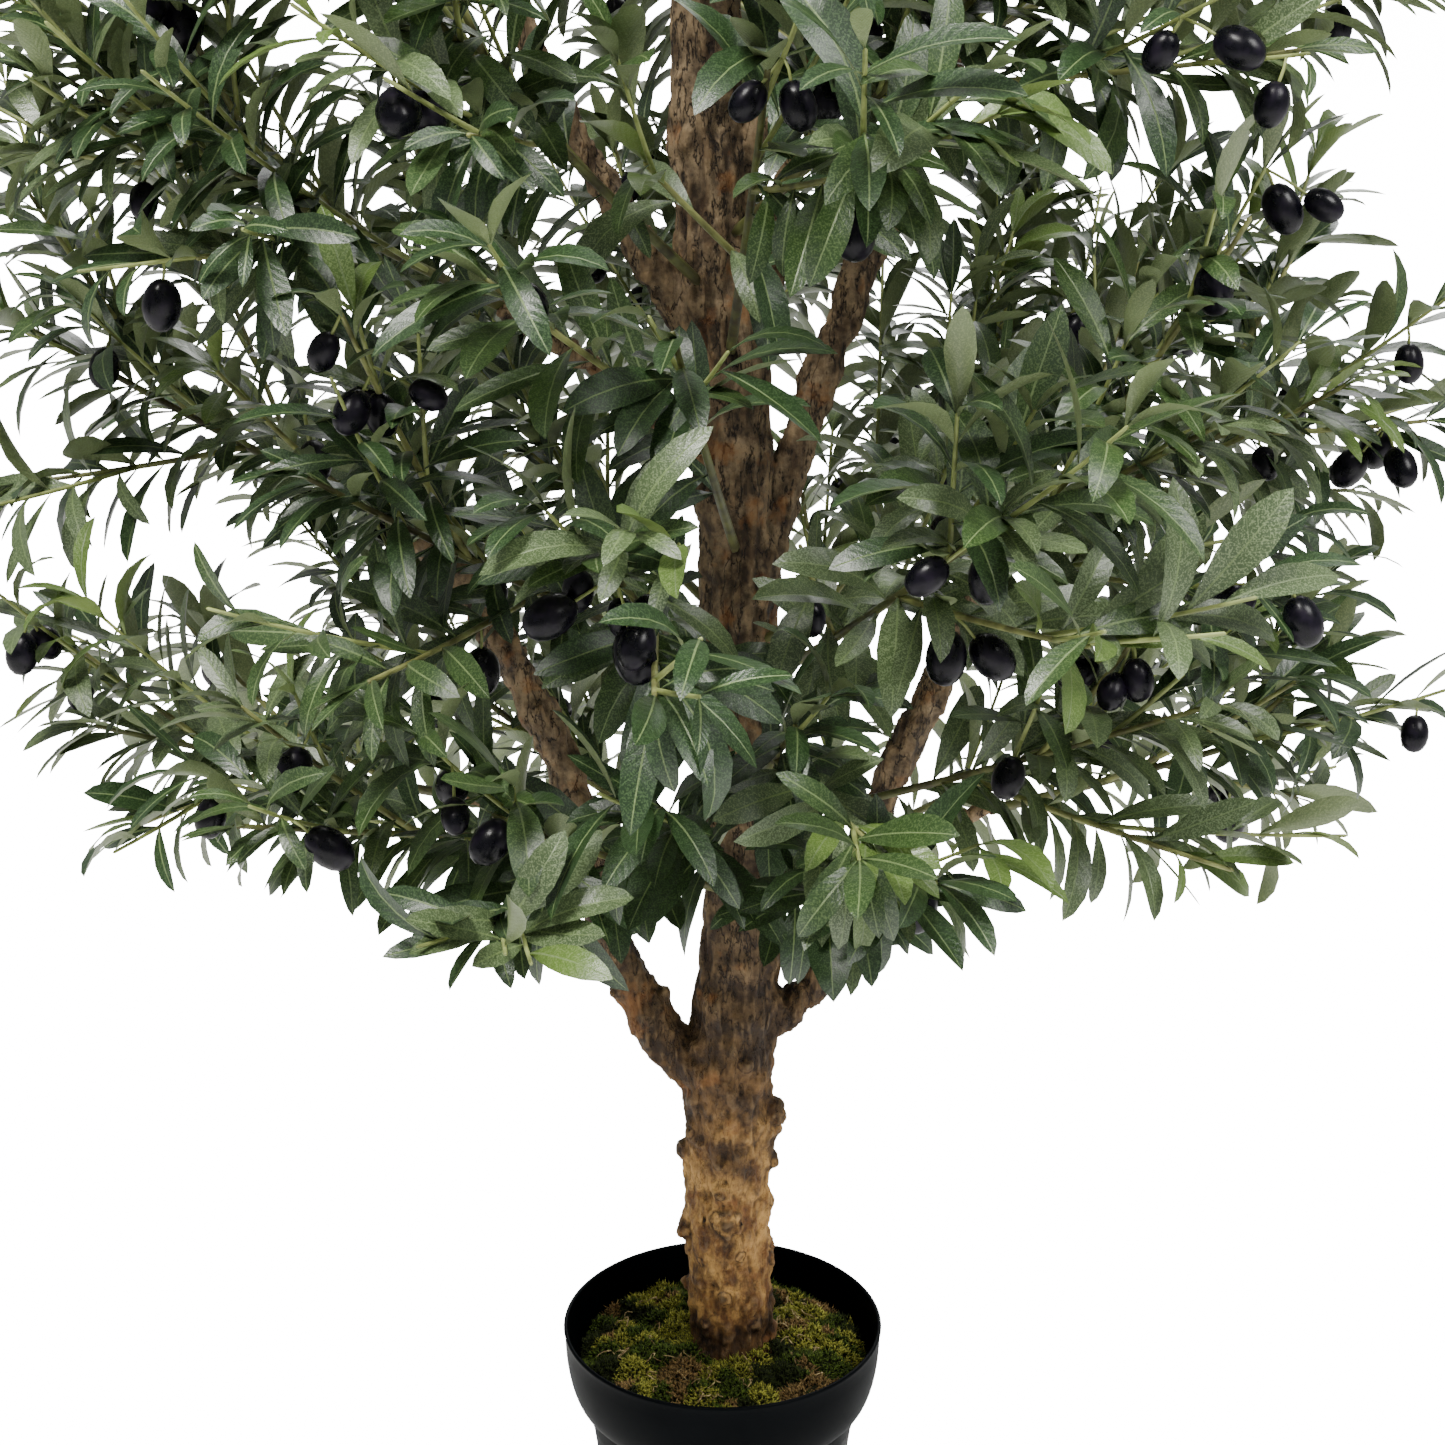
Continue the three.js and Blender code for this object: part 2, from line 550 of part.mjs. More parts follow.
// A line grown from a point, up to where it would leave the crown or its own space or touch a limb.
function growInside(mass, from, azimuth, rise, lift, length, reach) {
  const trials = grow(from, azimuth, (t) => rise + lift * t, length, TRIAL);
  const stop = trials.findIndex((point, i) => {
    const clear = i * TRIAL < TRUNK_CLEAR || roomToLimbs(point) > ROOM;
    return i > 0 && !(inCrown(point, reach, mass) && inOwnSpace(point, mass) && clear);
  });
  const last = (stop < 0 ? trials.length : stop) - 1;
  const count = Math.max(1, Math.round((last * TRIAL) / TWIG.step));
  return Array.from({ length: count + 1 }, (_, i) => trials[Math.round((i * last) / count)]);
}

// The lines of a mass: its stem, and shoots that leave it by turns round it and lie closer to it towards its tip.
function linesOf(mass, random) {
  const reach = () => mix(...REACH.shoots, random());
  const stem = growInside(mass, rootOf(mass), mass.azimuth, mass.rise, STEM.lift, mass.reach, reach());
  const frames = framesOf(stem);
  const lines = [{ points: stem, radius: STEM.radius, bare: STEM.bare }];
  for (let i = 0; i < mass.shoots; i++) {
    const t = i / (mass.shoots - 1);
    const { point } = along(frames, mix(STEM.firstShoot, STEM.lastShoot, t));
    const spread = mix(SHOOT.spread[0], SHOOT.spread[1], t);
    const turn = (GOLDEN * i + JITTER.turn * random()) * DEGREE;
    const azimuth = mass.azimuth + spread * Math.cos(turn);
    const rise = mass.rise + spread * SHOOT.flat * Math.sin(turn);
    const length = mass.reach * mix(...SHOOT.long, t) * (1 + JITTER.length * (random() - 0.5));
    const points = growInside(mass, point, azimuth, rise, SHOOT.lift, length, reach());
    if (lengthOf(points) > SHOOT.least) lines.push({ points, radius: SHOOT.radius, bare: SHOOT.bare });
  }
  return lines;
}

function buildMass(mass, index) {
  const lines = linesOf(mass, seeded(SEED.lines + index * SEED.linesStep));
  const random = seeded(SEED.leaves + index * SEED.leavesStep);
  const twigs = lines.map(({ points, radius }) => solidOf(bar(points, TWIG.sides, (t) => mix(...radius, t))));
  let whole = twigs.reduce((joined, twig) => joined.add(twig));
  lines.forEach(({ points, bare }, i) => {
    whole = addLeaves(mass, points, bare, random, whole);
    if (i % OLIVE.every === 1) whole = addOlive(mass, points, random, whole);
  });
  place(mass.name, geometryOf(largest(whole.subtract(limbs.get(mass.on).grown))), leafGreen);
}

buildPot();
buildFilling();
buildTrunk();
buildMoss();
BOUGHS.forEach(buildBough);
const masses = MASSES.map(([name, on, at, azimuth, rise, reach, shoots, large]) => {
  return { name, on, at, azimuth, rise, reach, shoots, large };
});
layOutSpaces(masses);
masses.forEach(buildMass);

export default tree;
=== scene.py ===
import math

import bpy
import numpy as np
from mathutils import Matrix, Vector


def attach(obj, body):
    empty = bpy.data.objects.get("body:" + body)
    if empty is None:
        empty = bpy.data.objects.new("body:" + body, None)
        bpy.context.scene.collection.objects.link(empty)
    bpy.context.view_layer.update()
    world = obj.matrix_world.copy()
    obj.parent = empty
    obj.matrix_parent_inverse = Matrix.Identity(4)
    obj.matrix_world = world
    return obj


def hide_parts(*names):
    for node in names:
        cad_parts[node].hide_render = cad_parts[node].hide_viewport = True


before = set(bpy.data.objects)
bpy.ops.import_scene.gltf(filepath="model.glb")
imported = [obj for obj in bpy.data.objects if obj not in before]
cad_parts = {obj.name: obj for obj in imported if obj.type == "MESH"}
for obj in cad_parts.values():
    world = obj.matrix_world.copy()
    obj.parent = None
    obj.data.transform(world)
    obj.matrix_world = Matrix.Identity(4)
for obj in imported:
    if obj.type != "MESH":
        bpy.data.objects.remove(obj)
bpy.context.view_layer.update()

# Studio. The tree stands on a plain pale floor under soft light, seen as in the photo: from a little above,
# looking down by the angle that the ellipse of the pot's rim gives.
CAMERA_PLACE = (0, -1.41, 1.04)
CAMERA_LOOKS_DOWN = math.radians(16.4)
CAMERA_LENS = 57.3
FLOOR_SIZE = 120
SURROUND_GLOW = 16  # how bright the floor and the world look straight from the camera
SURROUND_LIGHT = 0.36  # how much light the world gives
LAMPS_AIM = (0, 0, 0.9)

scene = bpy.context.scene


def deselect():
    """Leaves nothing selected, so that the next operator acts on its own piece alone."""
    bpy.ops.object.select_all(action="DESELECT")


def node_material(name):
    """A new material with its node tree and its Principled BSDF."""
    material = bpy.data.materials.new(name)
    material.use_nodes = True
    return material, material.node_tree, material.node_tree.nodes["Principled BSDF"]


def glow_to_camera(tree, others, socket):
    """Gives a strength two values: nearly white where the camera looks straight at it, less for all else."""
    seen = tree.nodes.new("ShaderNodeLightPath")
    glow = tree.nodes.new("ShaderNodeMapRange")
    glow.inputs["To Min"].default_value = others
    glow.inputs["To Max"].default_value = SURROUND_GLOW
    tree.links.new(seen.outputs["Is Camera Ray"], glow.inputs["Value"])
    tree.links.new(glow.outputs["Result"], socket)


deselect()
bpy.ops.object.camera_add(location=CAMERA_PLACE, rotation=(math.pi / 2 - CAMERA_LOOKS_DOWN, 0, 0))
camera = bpy.context.object
camera.data.lens = CAMERA_LENS
camera.data.clip_start = 0.02
scene.camera = camera

deselect()
bpy.ops.mesh.primitive_plane_add(size=FLOOR_SIZE)
floor = bpy.context.object
floor.name = "floor"
pale, pale_tree, pale_shader = node_material("pale_floor")
pale_shader.inputs["Base Color"].default_value = (0.9, 0.9, 0.9, 1)
pale_shader.inputs["Roughness"].default_value = 0.9
pale_shader.inputs["Specular IOR Level"].default_value = 0.1
pale_shader.inputs["Emission Color"].default_value = (1, 1, 1, 1)
glow_to_camera(pale_tree, 0, pale_shader.inputs["Emission Strength"])
floor.data.materials.append(pale)

world = bpy.data.worlds.new("studio")
world.use_nodes = True
world.node_tree.nodes["Background"].inputs["Color"].default_value = (1, 1, 1, 1)
glow_to_camera(world.node_tree, SURROUND_LIGHT, world.node_tree.nodes["Background"].inputs["Strength"])
scene.world = world


def softbox(name, place, size, power, colour):
    """A large square lamp that faces the middle of the crown."""
    deselect()
    aim = (Vector(LAMPS_AIM) - Vector(place)).to_track_quat("-Z", "Y")
    bpy.ops.object.light_add(type="AREA", location=place, rotation=aim.to_euler())
    lamp = bpy.context.object
    lamp.name = name
    lamp.data.size = size
    lamp.data.energy = power
    lamp.data.color = colour


softbox("key_light", (-1.1, -1.8, 4.2), 1.2, 270, (1, 0.98, 0.93))
softbox("fill_light", (2.1, -1.8, 3.3), 1.5, 125, (1, 0.99, 0.97))
softbox("back_light", (0.6, 2.6, 3.0), 2.0, 110, (1, 1, 1))

# Pot. A plain black nursery pot, injection moulded in polypropylene: a thin tapered wall, a rim band that
# swells out with a rounded lip, a faint ridge under the band where the pots stack, and a foot ring round a
# raised bottom.
POT_SIDES = 144
POT_RIM = 0.110
POT_HEIGHT = 0.195
POT_WALL = 0.003
POT_FOOT = 0.074
POT_UNDER_BAND = 0.093
POT_BAND_TOP = 0.1088
POT_BASE = 0.004
BAND_LOW = 0.139
BAND_HIGH = 0.189
BAND_STEP = 0.0015
BAND_LEVELS = 12
FOOT_RING = (0.062, 0.065)  # the radius of its inner edge, at the raised bottom and at the floor
FOOT_RAISED = 0.0015
STACK_RIDGE = 0.124  # the ridge's height
LIP_TURNS = (-30, 0, 30, 60, 90, 120, 150, 180)
SMOOTH_BELOW = math.radians(38)


def mix(a, b, t):
    return a + (b - a) * t


def pot_band(share):
    """The band's outside at a share of its height: a quarter of an ellipse."""
    angle = share * math.pi / 2
    radius = mix(POT_UNDER_BAND + BAND_STEP, POT_BAND_TOP, math.sin(angle))
    return radius, mix(BAND_LOW, BAND_HIGH, 1 - math.cos(angle))


def pot_profile():
    """The pot's section as radius and height, from the middle of its underside out, up, over and back in."""
    wall_at = lambda height: mix(POT_FOOT, POT_UNDER_BAND, height / BAND_LOW)
    outside = [(0, FOOT_RAISED), (FOOT_RING[0], FOOT_RAISED), (FOOT_RING[1], 0)]
    outside += [(POT_FOOT - 0.002, 0), (POT_FOOT, 0.002)]
    outside += [(wall_at(height), height) for height in (0.03, 0.06, 0.09, STACK_RIDGE - 0.0012)]
    at_ridge = wall_at(STACK_RIDGE)
    outside += [(at_ridge + 0.0006, STACK_RIDGE), (at_ridge + 0.0005, BAND_LOW - 0.0012)]
    outside += [(POT_UNDER_BAND + 0.0004, BAND_LOW - 0.0004)]
    band = [pot_band(step / BAND_LEVELS) for step in range(BAND_LEVELS + 1)]
    lip_radius = POT_WALL / 2
    middle_out, middle_up = POT_RIM - 0.0003 - lip_radius, POT_HEIGHT - lip_radius
    turns = [math.radians(turn) for turn in LIP_TURNS]
    lip = [(middle_out + lip_radius * math.cos(t), middle_up + lip_radius * math.sin(t)) for t in turns]
    inside = [(radius - POT_WALL, height) for radius, height in reversed(band)]
    inside += [(wall_at(POT_BASE) - POT_WALL, POT_BASE), (0, POT_BASE)]
    return outside + band + lip + inside


deselect()
bpy.ops.mesh.primitive_plane_add(size=0.01)
pot = bpy.context.object
pot.name = "nursery_pot"
bpy.ops.object.mode_set(mode="EDIT")
bpy.ops.mesh.merge(type="CENTER")
profile = pot_profile()
bpy.ops.transform.translate(value=(profile[0][0], 0, profile[0][1]))
for (radius, height), (last_radius, last_height) in zip(profile[1:], profile):
    step = (radius - last_radius, 0, height - last_height)
    bpy.ops.mesh.extrude_vertices_move(TRANSFORM_OT_translate={"value": step})
bpy.ops.mesh.select_all(action="SELECT")
bpy.ops.mesh.spin(steps=POT_SIDES, angle=2 * math.pi, center=(0, 0, 0), axis=(0, 0, 1))
bpy.ops.mesh.select_all(action="SELECT")
bpy.ops.mesh.remove_doubles(threshold=1e-5)
bpy.ops.mesh.normals_make_consistent(inside=False)
bpy.ops.object.mode_set(mode="OBJECT")
bpy.ops.object.shade_smooth_by_angle(angle=SMOOTH_BELOW)


def give(tree, socket, value):
    """Links a socket to another one, or sets it to a plain number or colour."""
    if isinstance(value, bpy.types.NodeSocket):
        tree.links.new(value, socket)
    else:
        socket.default_value = (*value, 1) if isinstance(value, tuple) else value


def dress(tree, shader, colour, roughness, normal, specular=0.5):
    """Gives a material's shader its colour, its gloss and its fine relief."""
    for name, value in (("Base Color", colour), ("Roughness", roughness), ("Normal", normal)):
        give(tree, shader.inputs[name], value)
    shader.inputs["Specular IOR Level"].default_value = specular


def object_place(tree):
    return tree.nodes.new("ShaderNodeTexCoord").outputs["Object"]


def noise_node(tree, vector, scale, detail=3.0, roughness=0.5):
    noise = tree.nodes.new("ShaderNodeTexNoise")
    for name, value in (("Vector", vector), ("Scale", scale), ("Detail", detail), ("Roughness", roughness)):
        give(tree, noise.inputs[name], value)
    return noise.outputs["Fac"]


def range_node(tree, value, low, high, out_low, out_high):
    """A value carried from one range to another, and held inside the second."""
    span = tree.nodes.new("ShaderNodeMapRange")
    for socket, given in zip(span.inputs, (value, low, high, out_low, out_high)):
        give(tree, socket, given)
    return span.outputs["Result"]


def colour_mix(tree, share, first, second):
    """A mix of two colours, each a socket or a plain colour, by a share."""
    mixer = tree.nodes.new("ShaderNodeMix")
    mixer.data_type = "RGBA"
    for number, value in ((0, share), (6, first), (7, second)):
        give(tree, mixer.inputs[number], value)
    return mixer.outputs[2]


def bump_node(tree, height, strength, distance, below=None):
    bump = tree.nodes.new("ShaderNodeBump")
    for name, value in (("Height", height), ("Strength", strength), ("Distance", distance)):
        give(tree, bump.inputs[name], value)
    if below is not None:
        tree.links.new(below, bump.inputs["Normal"])
    return bump.outputs["Normal"]


def black_plastic():
    """Semi-matt moulded plastic with a fine spark-eroded grain and a little dust and rubbing."""
    material, tree, shader = node_material("black_plastic")
    place = object_place(tree)
    cloudy = noise_node(tree, place, 22, 4)
    dust = range_node(tree, cloudy, 0.45, 0.75, 0.0, 0.5)
    grain = noise_node(tree, place, 1900, 2)
    dress(tree, shader, colour_mix(tree, dust, (0.0009, 0.0015, 0.0022), (0.0035, 0.0045, 0.0055)),
          range_node(tree, cloudy, 0.3, 0.7, 0.34, 0.48), bump_node(tree, grain, 0.25, 0.0002), 0.03)
    return material


pot.data.materials.append(black_plastic())
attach(pot, "root")
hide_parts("pot")

# Filling. Cement is poured into the pot round the foot of the trunk. It holds the trunk upright and weighs
# the pot down, and the moss hides it. The solid from the frame stays and looks like rough cast cement.


def cast_cement():
    material, tree, shader = node_material("cast_cement")
    place = object_place(tree)
    cloudy = noise_node(tree, place, 60, 6)
    sand = noise_node(tree, place, 700, 3)
    dress(tree, shader, colour_mix(tree, cloudy, (0.16, 0.155, 0.145), (0.34, 0.33, 0.31)), 0.92,
          bump_node(tree, sand, 0.6, 0.0006))
    return material


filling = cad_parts["pot_filling"]
filling.data.materials.clear()
filling.data.materials.append(cast_cement())

# Wood. The trunk is a real dried trunk, cut flat at its foot, and the boughs are real branches that are
# dowelled and glued into it, each in its own line. All of it is one mesh with knots, lumps and furrows.
TRUNK_LINE = (  # height, sideways, depth and radius from the foot up to the tip
    (0.154, 0.007, 0, 0.0305),
    (0.205, 0.005, 0, 0.0288),
    (0.300, 0.003, 0, 0.0282),
    (0.372, 0.004, 0, 0.0305),
    (0.430, 0.009, 0, 0.0285),
    (0.475, 0.013, 0, 0.0255),
    (0.700, 0.011, 0.002, 0.024),
    (0.830, 0.006, 0.001, 0.0236),
    (0.930, -0.004, 0, 0.0246),
    (1.010, -0.011, 0, 0.021),
    (1.180, -0.007, 0.002, 0.016),
    (1.300, 0, 0.002, 0.012),
    (1.400, 0.006, 0, 0.0085),
)
TRUNK_STEP = 0.012
KNOTS = (  # height, azimuth, radius and how far the knot's middle stands in from the bark
    (0.356, -8, 0.0095, 0.002),
    (0.318, -4, 0.0065, 0.0025),
    (0.327, 188, 0.0065, 0.0025),
    (0.266, 190, 0.009, 0.0035),
    (0.226, 184, 0.0075, 0.003),
    (0.284, 272, 0.011, 0.008),
)
SMALL_KNOTS = (  # the same, for those that only the relief shows
    (0.326, 257, 0.0045, 0.000), (0.304, 262, 0.0045, 0.000), (0.258, 287, 0.005, 0.002),
    (0.246, 350, 0.006, 0.002), (0.290, 352, 0.005, 0.0015), (0.228, 262, 0.005, 0.002),
    (0.205, 305, 0.006, 0.002), (0.400, 290, 0.006, 0.003), (0.345, 212, 0.005, 0.0015),
    (0.250, 225, 0.005, 0.002), (0.205, 235, 0.006, 0.002),
)
SWIRL = (0.284, 272, 0.0085, 0.0024)  # the knot with a proud ring: height, azimuth, and the ring's two radii
LUMPS = 34  # all over the trunk, between two heights, of a radius and drawn out so far along it
LUMPS_BETWEEN = (0.19, 1.2)
LUMP_RADIUS = (0.004, 0.0075)
LUMP_STRETCH = (1, 2.2)
LUMPY_BOUGHS = ("low_left_bough", "low_right_bough", "mid_right_bough", "high_left_bough")
LUMPS_ON_BOUGH = 6
LUMPS_ALONG = (0.1, 0.9)
BOUGH_LUMP_RADIUS = (0.003, 0.005)
BOUGHS = {  # what each leaves and where, azimuth, rises at foot, turn and tip, where it turns, length, radii
    "low_left_bough": ("trunk", 0.362, 182, (44, 77, 56), 0.4, 0.435, (0.016, 0.010)),
    "low_right_bough": ("trunk", 0.414, 4, (14, 72, 64), 0.24, 0.380, (0.013, 0.009)),
    "mid_right_bough": ("trunk", 0.672, 18, (76, 70, 62), 0.4, 0.400, (0.013, 0.0085)),
    "mid_left_bough": ("trunk", 0.776, 212, (42, 40, 30), 0.4, 0.200, (0.0085, 0.006)),
    "high_left_bough": ("trunk", 0.838, 190, (56, 60, 70), 0.5, 0.290, (0.0105, 0.0075)),
    "high_right_bough": ("trunk", 0.948, 350, (56, 60, 62), 0.5, 0.230, (0.010, 0.007)),
    "low_back_bough": ("trunk", 0.545, 100, (50, 62, 60), 0.4, 0.280, (0.011, 0.0075)),
    "high_back_bough": ("trunk", 0.790, 72, (50, 60, 60), 0.4, 0.270, (0.010, 0.007)),
    "top_left_bough": ("trunk", 1.085, 160, (48, 58, 64), 0.4, 0.220, (0.0085, 0.006)),
    "top_right_bough": ("trunk", 1.130, 15, (48, 58, 64), 0.4, 0.210, (0.008, 0.006)),
    "top_front_bough": ("trunk", 1.060, 262, (46, 56, 62), 0.4, 0.210, (0.0085, 0.006)),
    "top_back_bough": ("trunk", 1.105, 88, (48, 58, 62), 0.4, 0.210, (0.008, 0.006)),
    "left_side_bough": ("low_left_bough", 0.5, 196, (24, 22, 18), 0.4, 0.090, (0.007, 0.005)),
    "right_side_bough": ("low_right_bough", 0.42, 350, (26, 22, 16), 0.4, 0.090, (0.0065, 0.005)),
}
BOUGH_STEP = 0.011
GRAFT = (0.3, 0.05)  # how much thicker a bough is where it leaves its parent, and over what length
WOOD_VOXEL = 0.0021
WOOD_KEPT = 0.50  # share of its faces that the finished bark keeps, most where it is roughest
KNOT_RING = 0.3  # half the distance between a knot's dark rings, in its own radii


def heading(azimuth, rise):
    """The direction at an azimuth (0 is right, 90 is away from the viewer) and a rise, both in degrees."""
    level = math.cos(math.radians(rise))
    across = level * math.cos(math.radians(azimuth))
    away = level * math.sin(math.radians(azimuth))
    return np.array((across, away, math.sin(math.radians(rise))))


def nearest(value):
    return math.floor(value + 0.5)


def grow(start, azimuth, rise_at, length, step):
    """A line of points a step apart, at one azimuth, whose rise is a function of the share of the length."""
    count = max(2, nearest(length / step))
    points = [np.array(start, float)]
    for i in range(count):
        points.append(points[-1] + heading(azimuth, rise_at((i + 0.5) / count)) * (length / count))
    return np.array(points)


def frames_of(points):
    """A direction and two directions across it for each point of a line, turned least from point to point."""
    ahead = np.gradient(points, axis=0)
    ahead /= np.linalg.norm(ahead, axis=1, keepdims=True)
    upright = (1, 0, 0) if abs(ahead[0][2]) > 0.9 else (0, 0, 1)
    side = [np.cross(ahead[0], upright)]
    for direction in ahead[1:]:
        side.append(side[-1] - direction * (side[-1] @ direction))
    side = np.array(side)
    side /= np.linalg.norm(side, axis=1, keepdims=True)
    return {"point": points, "ahead": ahead, "side": side, "over": np.cross(side, ahead)}


def along(frames, share):
    """The frame part of the way along a line."""
    place = min(1, max(0, share)) * (len(frames["point"]) - 1)
    i = min(math.floor(place), len(frames["point"]) - 2)
    found = {key: values[nearest(place)] for key, values in frames.items()}
    found["point"] = mix(frames["point"][i], frames["point"][i + 1], place - i)
    return found


def smooth(t):
    return t * t * (3 - 2 * t)


def trunk_at(height):
    """The trunk's middle and radius at a height."""
    above = [i for i, row in enumerate(TRUNK_LINE) if row[0] > height]
    upper = max(1, above[0]) if above else len(TRUNK_LINE) - 1
    low, high = np.array(TRUNK_LINE[upper - 1]), np.array(TRUNK_LINE[upper])
    row = mix(low, high, smooth((height - low[0]) / (high[0] - low[0])))
    return np.array((row[1], row[2], height)), row[3]


def select_only(piece):
    deselect()
    piece.select_set(True)
    bpy.context.view_layer.objects.active = piece


def round_limb(name, points, radii):
    """A limb as a closed round bar along its line, with its own radius at each point."""
    line = bpy.data.curves.new(name, "CURVE")
    line.dimensions = "3D"
    line.bevel_depth = 1
    line.bevel_resolution = 6
    line.use_fill_caps = True
    spline = line.splines.new("POLY")
    spline.points.add(len(points) - 1)
    for knot, place, radius in zip(spline.points, points, radii):
        knot.co = (*place, 1)
        knot.radius = radius
    limb = bpy.data.objects.new(name, line)
    scene.collection.objects.link(limb)
    select_only(limb)
    bpy.ops.object.convert(target="MESH")
    return bpy.context.object


limbs = {}
wood_parts = []
trunk_heights = np.arange(TRUNK_LINE[0][0], TRUNK_LINE[-1][0] + TRUNK_STEP / 2, TRUNK_STEP)
trunk_rows = [trunk_at(height) for height in trunk_heights]
trunk_middles, trunk_radii = (np.array(values) for values in zip(*trunk_rows))
limbs["trunk"] = (frames_of(trunk_middles), trunk_radii)


def spot_on(limb, at):
    """A place on the middle line of the trunk, at a height, or of a bough, at a share of its length."""
    return trunk_at(at)[0] if limb == "trunk" else along(limbs[limb][0], at)["point"]


for name, (on, at, azimuth, rise, turn, length, radius) in BOUGHS.items():

    def rise_at(t):
        if t < turn:
            return mix(rise[0], rise[1], smooth(t / turn))
        return mix(rise[1], rise[2], smooth((t - turn) / (1 - turn)))

    bough_points = grow(spot_on(on, at), azimuth, rise_at, length, BOUGH_STEP)
    limbs[name] = (frames_of(bough_points), np.linspace(radius[0], radius[1], len(bough_points)))


def length_of(points):
    return np.linalg.norm(np.diff(points, axis=0), axis=1).sum()


for name, (frames, radii) in limbs.items():
    walked = np.linspace(0, 1, len(radii)) * length_of(frames["point"])
    graft = 0 if name == "trunk" else GRAFT[0] * np.clip(1 - walked / (GRAFT[1] + radii[0]), 0, 1) ** 2
    wood_parts.append(round_limb(name + "_wood", frames["point"], radii * (1 + graft)))


def wood_bump(place, radius, stretch=(1, 1, 1)):
    """A round lump of wood that the remesh melts into what it stands on."""
    deselect()
    bpy.ops.mesh.primitive_ico_sphere_add(subdivisions=2, radius=radius, location=place, scale=stretch)
    wood_parts.append(bpy.context.object)


def on_bark(height, azimuth, out):
    """A place on the trunk at a height and an azimuth, and so far out from its bark."""
    middle, bark_radius = trunk_at(height)
    return middle + heading(azimuth, 0) * (bark_radius + out)


# Each knot is a stub with a swelling of the wood behind it.
for height, azimuth, radius, sunk in KNOTS:
    wood_bump(on_bark(height, azimuth, 0.0015 - sunk), radius)
    wood_bump(on_bark(height, azimuth, -sunk - radius * 0.6), radius * 1.25, (1, 1, 1.4))
for height, azimuth, radius, sunk in SMALL_KNOTS:
    wood_bump(on_bark(height, azimuth, -sunk), radius, (1, 1, 0.8))
    wood_bump(on_bark(height, azimuth, -sunk - radius * 0.5), radius * 1.3, (1, 1, 1.6))
deselect()
bpy.ops.mesh.primitive_torus_add(
    major_radius=SWIRL[2], minor_radius=SWIRL[3], major_segments=32, minor_segments=10,
    location=on_bark(SWIRL[0], SWIRL[1], 0.001), rotation=(math.pi / 2, 0, math.radians(SWIRL[1] + 90)))
wood_parts.append(bpy.context.object)
bump_dice = np.random.default_rng(41)
for height in np.linspace(*LUMPS_BETWEEN, LUMPS):
    azimuth = bump_dice.uniform(0, 360)
    lump = bump_dice.uniform(*LUMP_RADIUS)
    wood_bump(on_bark(height, azimuth, -lump * 0.45), lump, (1, 1, bump_dice.uniform(*LUMP_STRETCH)))
for name in LUMPY_BOUGHS:
    frames, radii = limbs[name]
    for share in bump_dice.uniform(*LUMPS_ALONG, LUMPS_ON_BOUGH):
        spot = along(frames, share)
        angle = bump_dice.uniform(0, 2 * math.pi)
        out = spot["side"] * math.cos(angle) + spot["over"] * math.sin(angle)
        bough_radius = mix(radii[0], radii[-1], share)
        lump = bump_dice.uniform(*BOUGH_LUMP_RADIUS)
        wood_bump(spot["point"] + out * (bough_radius - lump * 0.2), lump)


def apply_modifiers(piece):
    for modifier in list(piece.modifiers):
        bpy.ops.object.modifier_apply(modifier=modifier.name)


deselect()
for part in wood_parts:
    part.select_set(True)
bpy.context.view_layer.objects.active = wood_parts[0]
bpy.ops.object.join()
bpy.ops.object.transform_apply(location=True, rotation=True, scale=True)
wood = bpy.context.object
wood.name = "trunk_and_boughs"
remesh = wood.modifiers.new("grown_together", "REMESH")
remesh.mode = "VOXEL"
remesh.voxel_size = WOOD_VOXEL
soften = wood.modifiers.new("softened", "SMOOTH")
soften.factor = 0.5
soften.iterations = 2
apply_modifiers(wood)

FINE_BELOW = 0.46  # under this height the bark shows best and is twice as fine
WORN_BELOW = 0.40  # under this height the bark is worn off and the wood shows
WORN_EDGE = 0.1  # over what height it gets worn
WORN_SMOOTHER = 0.75  # how much of the rough bark's relief is worn off
PATTERN_PLACE = (0.13, 0.07, 0)
BARK_RELIEF = (  # pattern, grain, how far it is drawn out along the trunk, strength, region and settings
    ("CLOUDS", 0.026, 1.3, 0.009, "", {"noise_depth": 1}),
    ("CLOUDS", 0.0085, 1.5, 0.0076, "worn", {"noise_depth": 2}),
    ("CLOUDS", 0.0065, 8, 0.0066, "rough", {"noise_depth": 3}),
    ("STUCCI", 0.010, 4, 0.0030, "rough", {"turbulence": 6, "stucci_type": "WALL_IN"}),
    ("CLOUDS", 0.0028, 3, 0.0016, "", {"noise_depth": 2}),
)


def edit_faces(piece, vector, wanted):
    """Opens the active piece for editing, with the faces selected whose centre or normal is so high."""
    bpy.ops.object.mode_set(mode="EDIT")
    bpy.ops.mesh.select_all(action="DESELECT")
    bpy.ops.object.mode_set(mode="OBJECT")
    values = np.zeros(len(piece.data.polygons) * 3)
    piece.data.polygons.foreach_get(vector, values)
    piece.data.polygons.foreach_set("select", wanted(values[2::3]))
    bpy.ops.object.mode_set(mode="EDIT")
    bpy.ops.mesh.select_mode(type="FACE")


edit_faces(wood, "center", lambda height: height < FINE_BELOW)
bpy.ops.mesh.subdivide(number_cuts=1, smoothness=0.6)
bpy.ops.object.mode_set(mode="OBJECT")

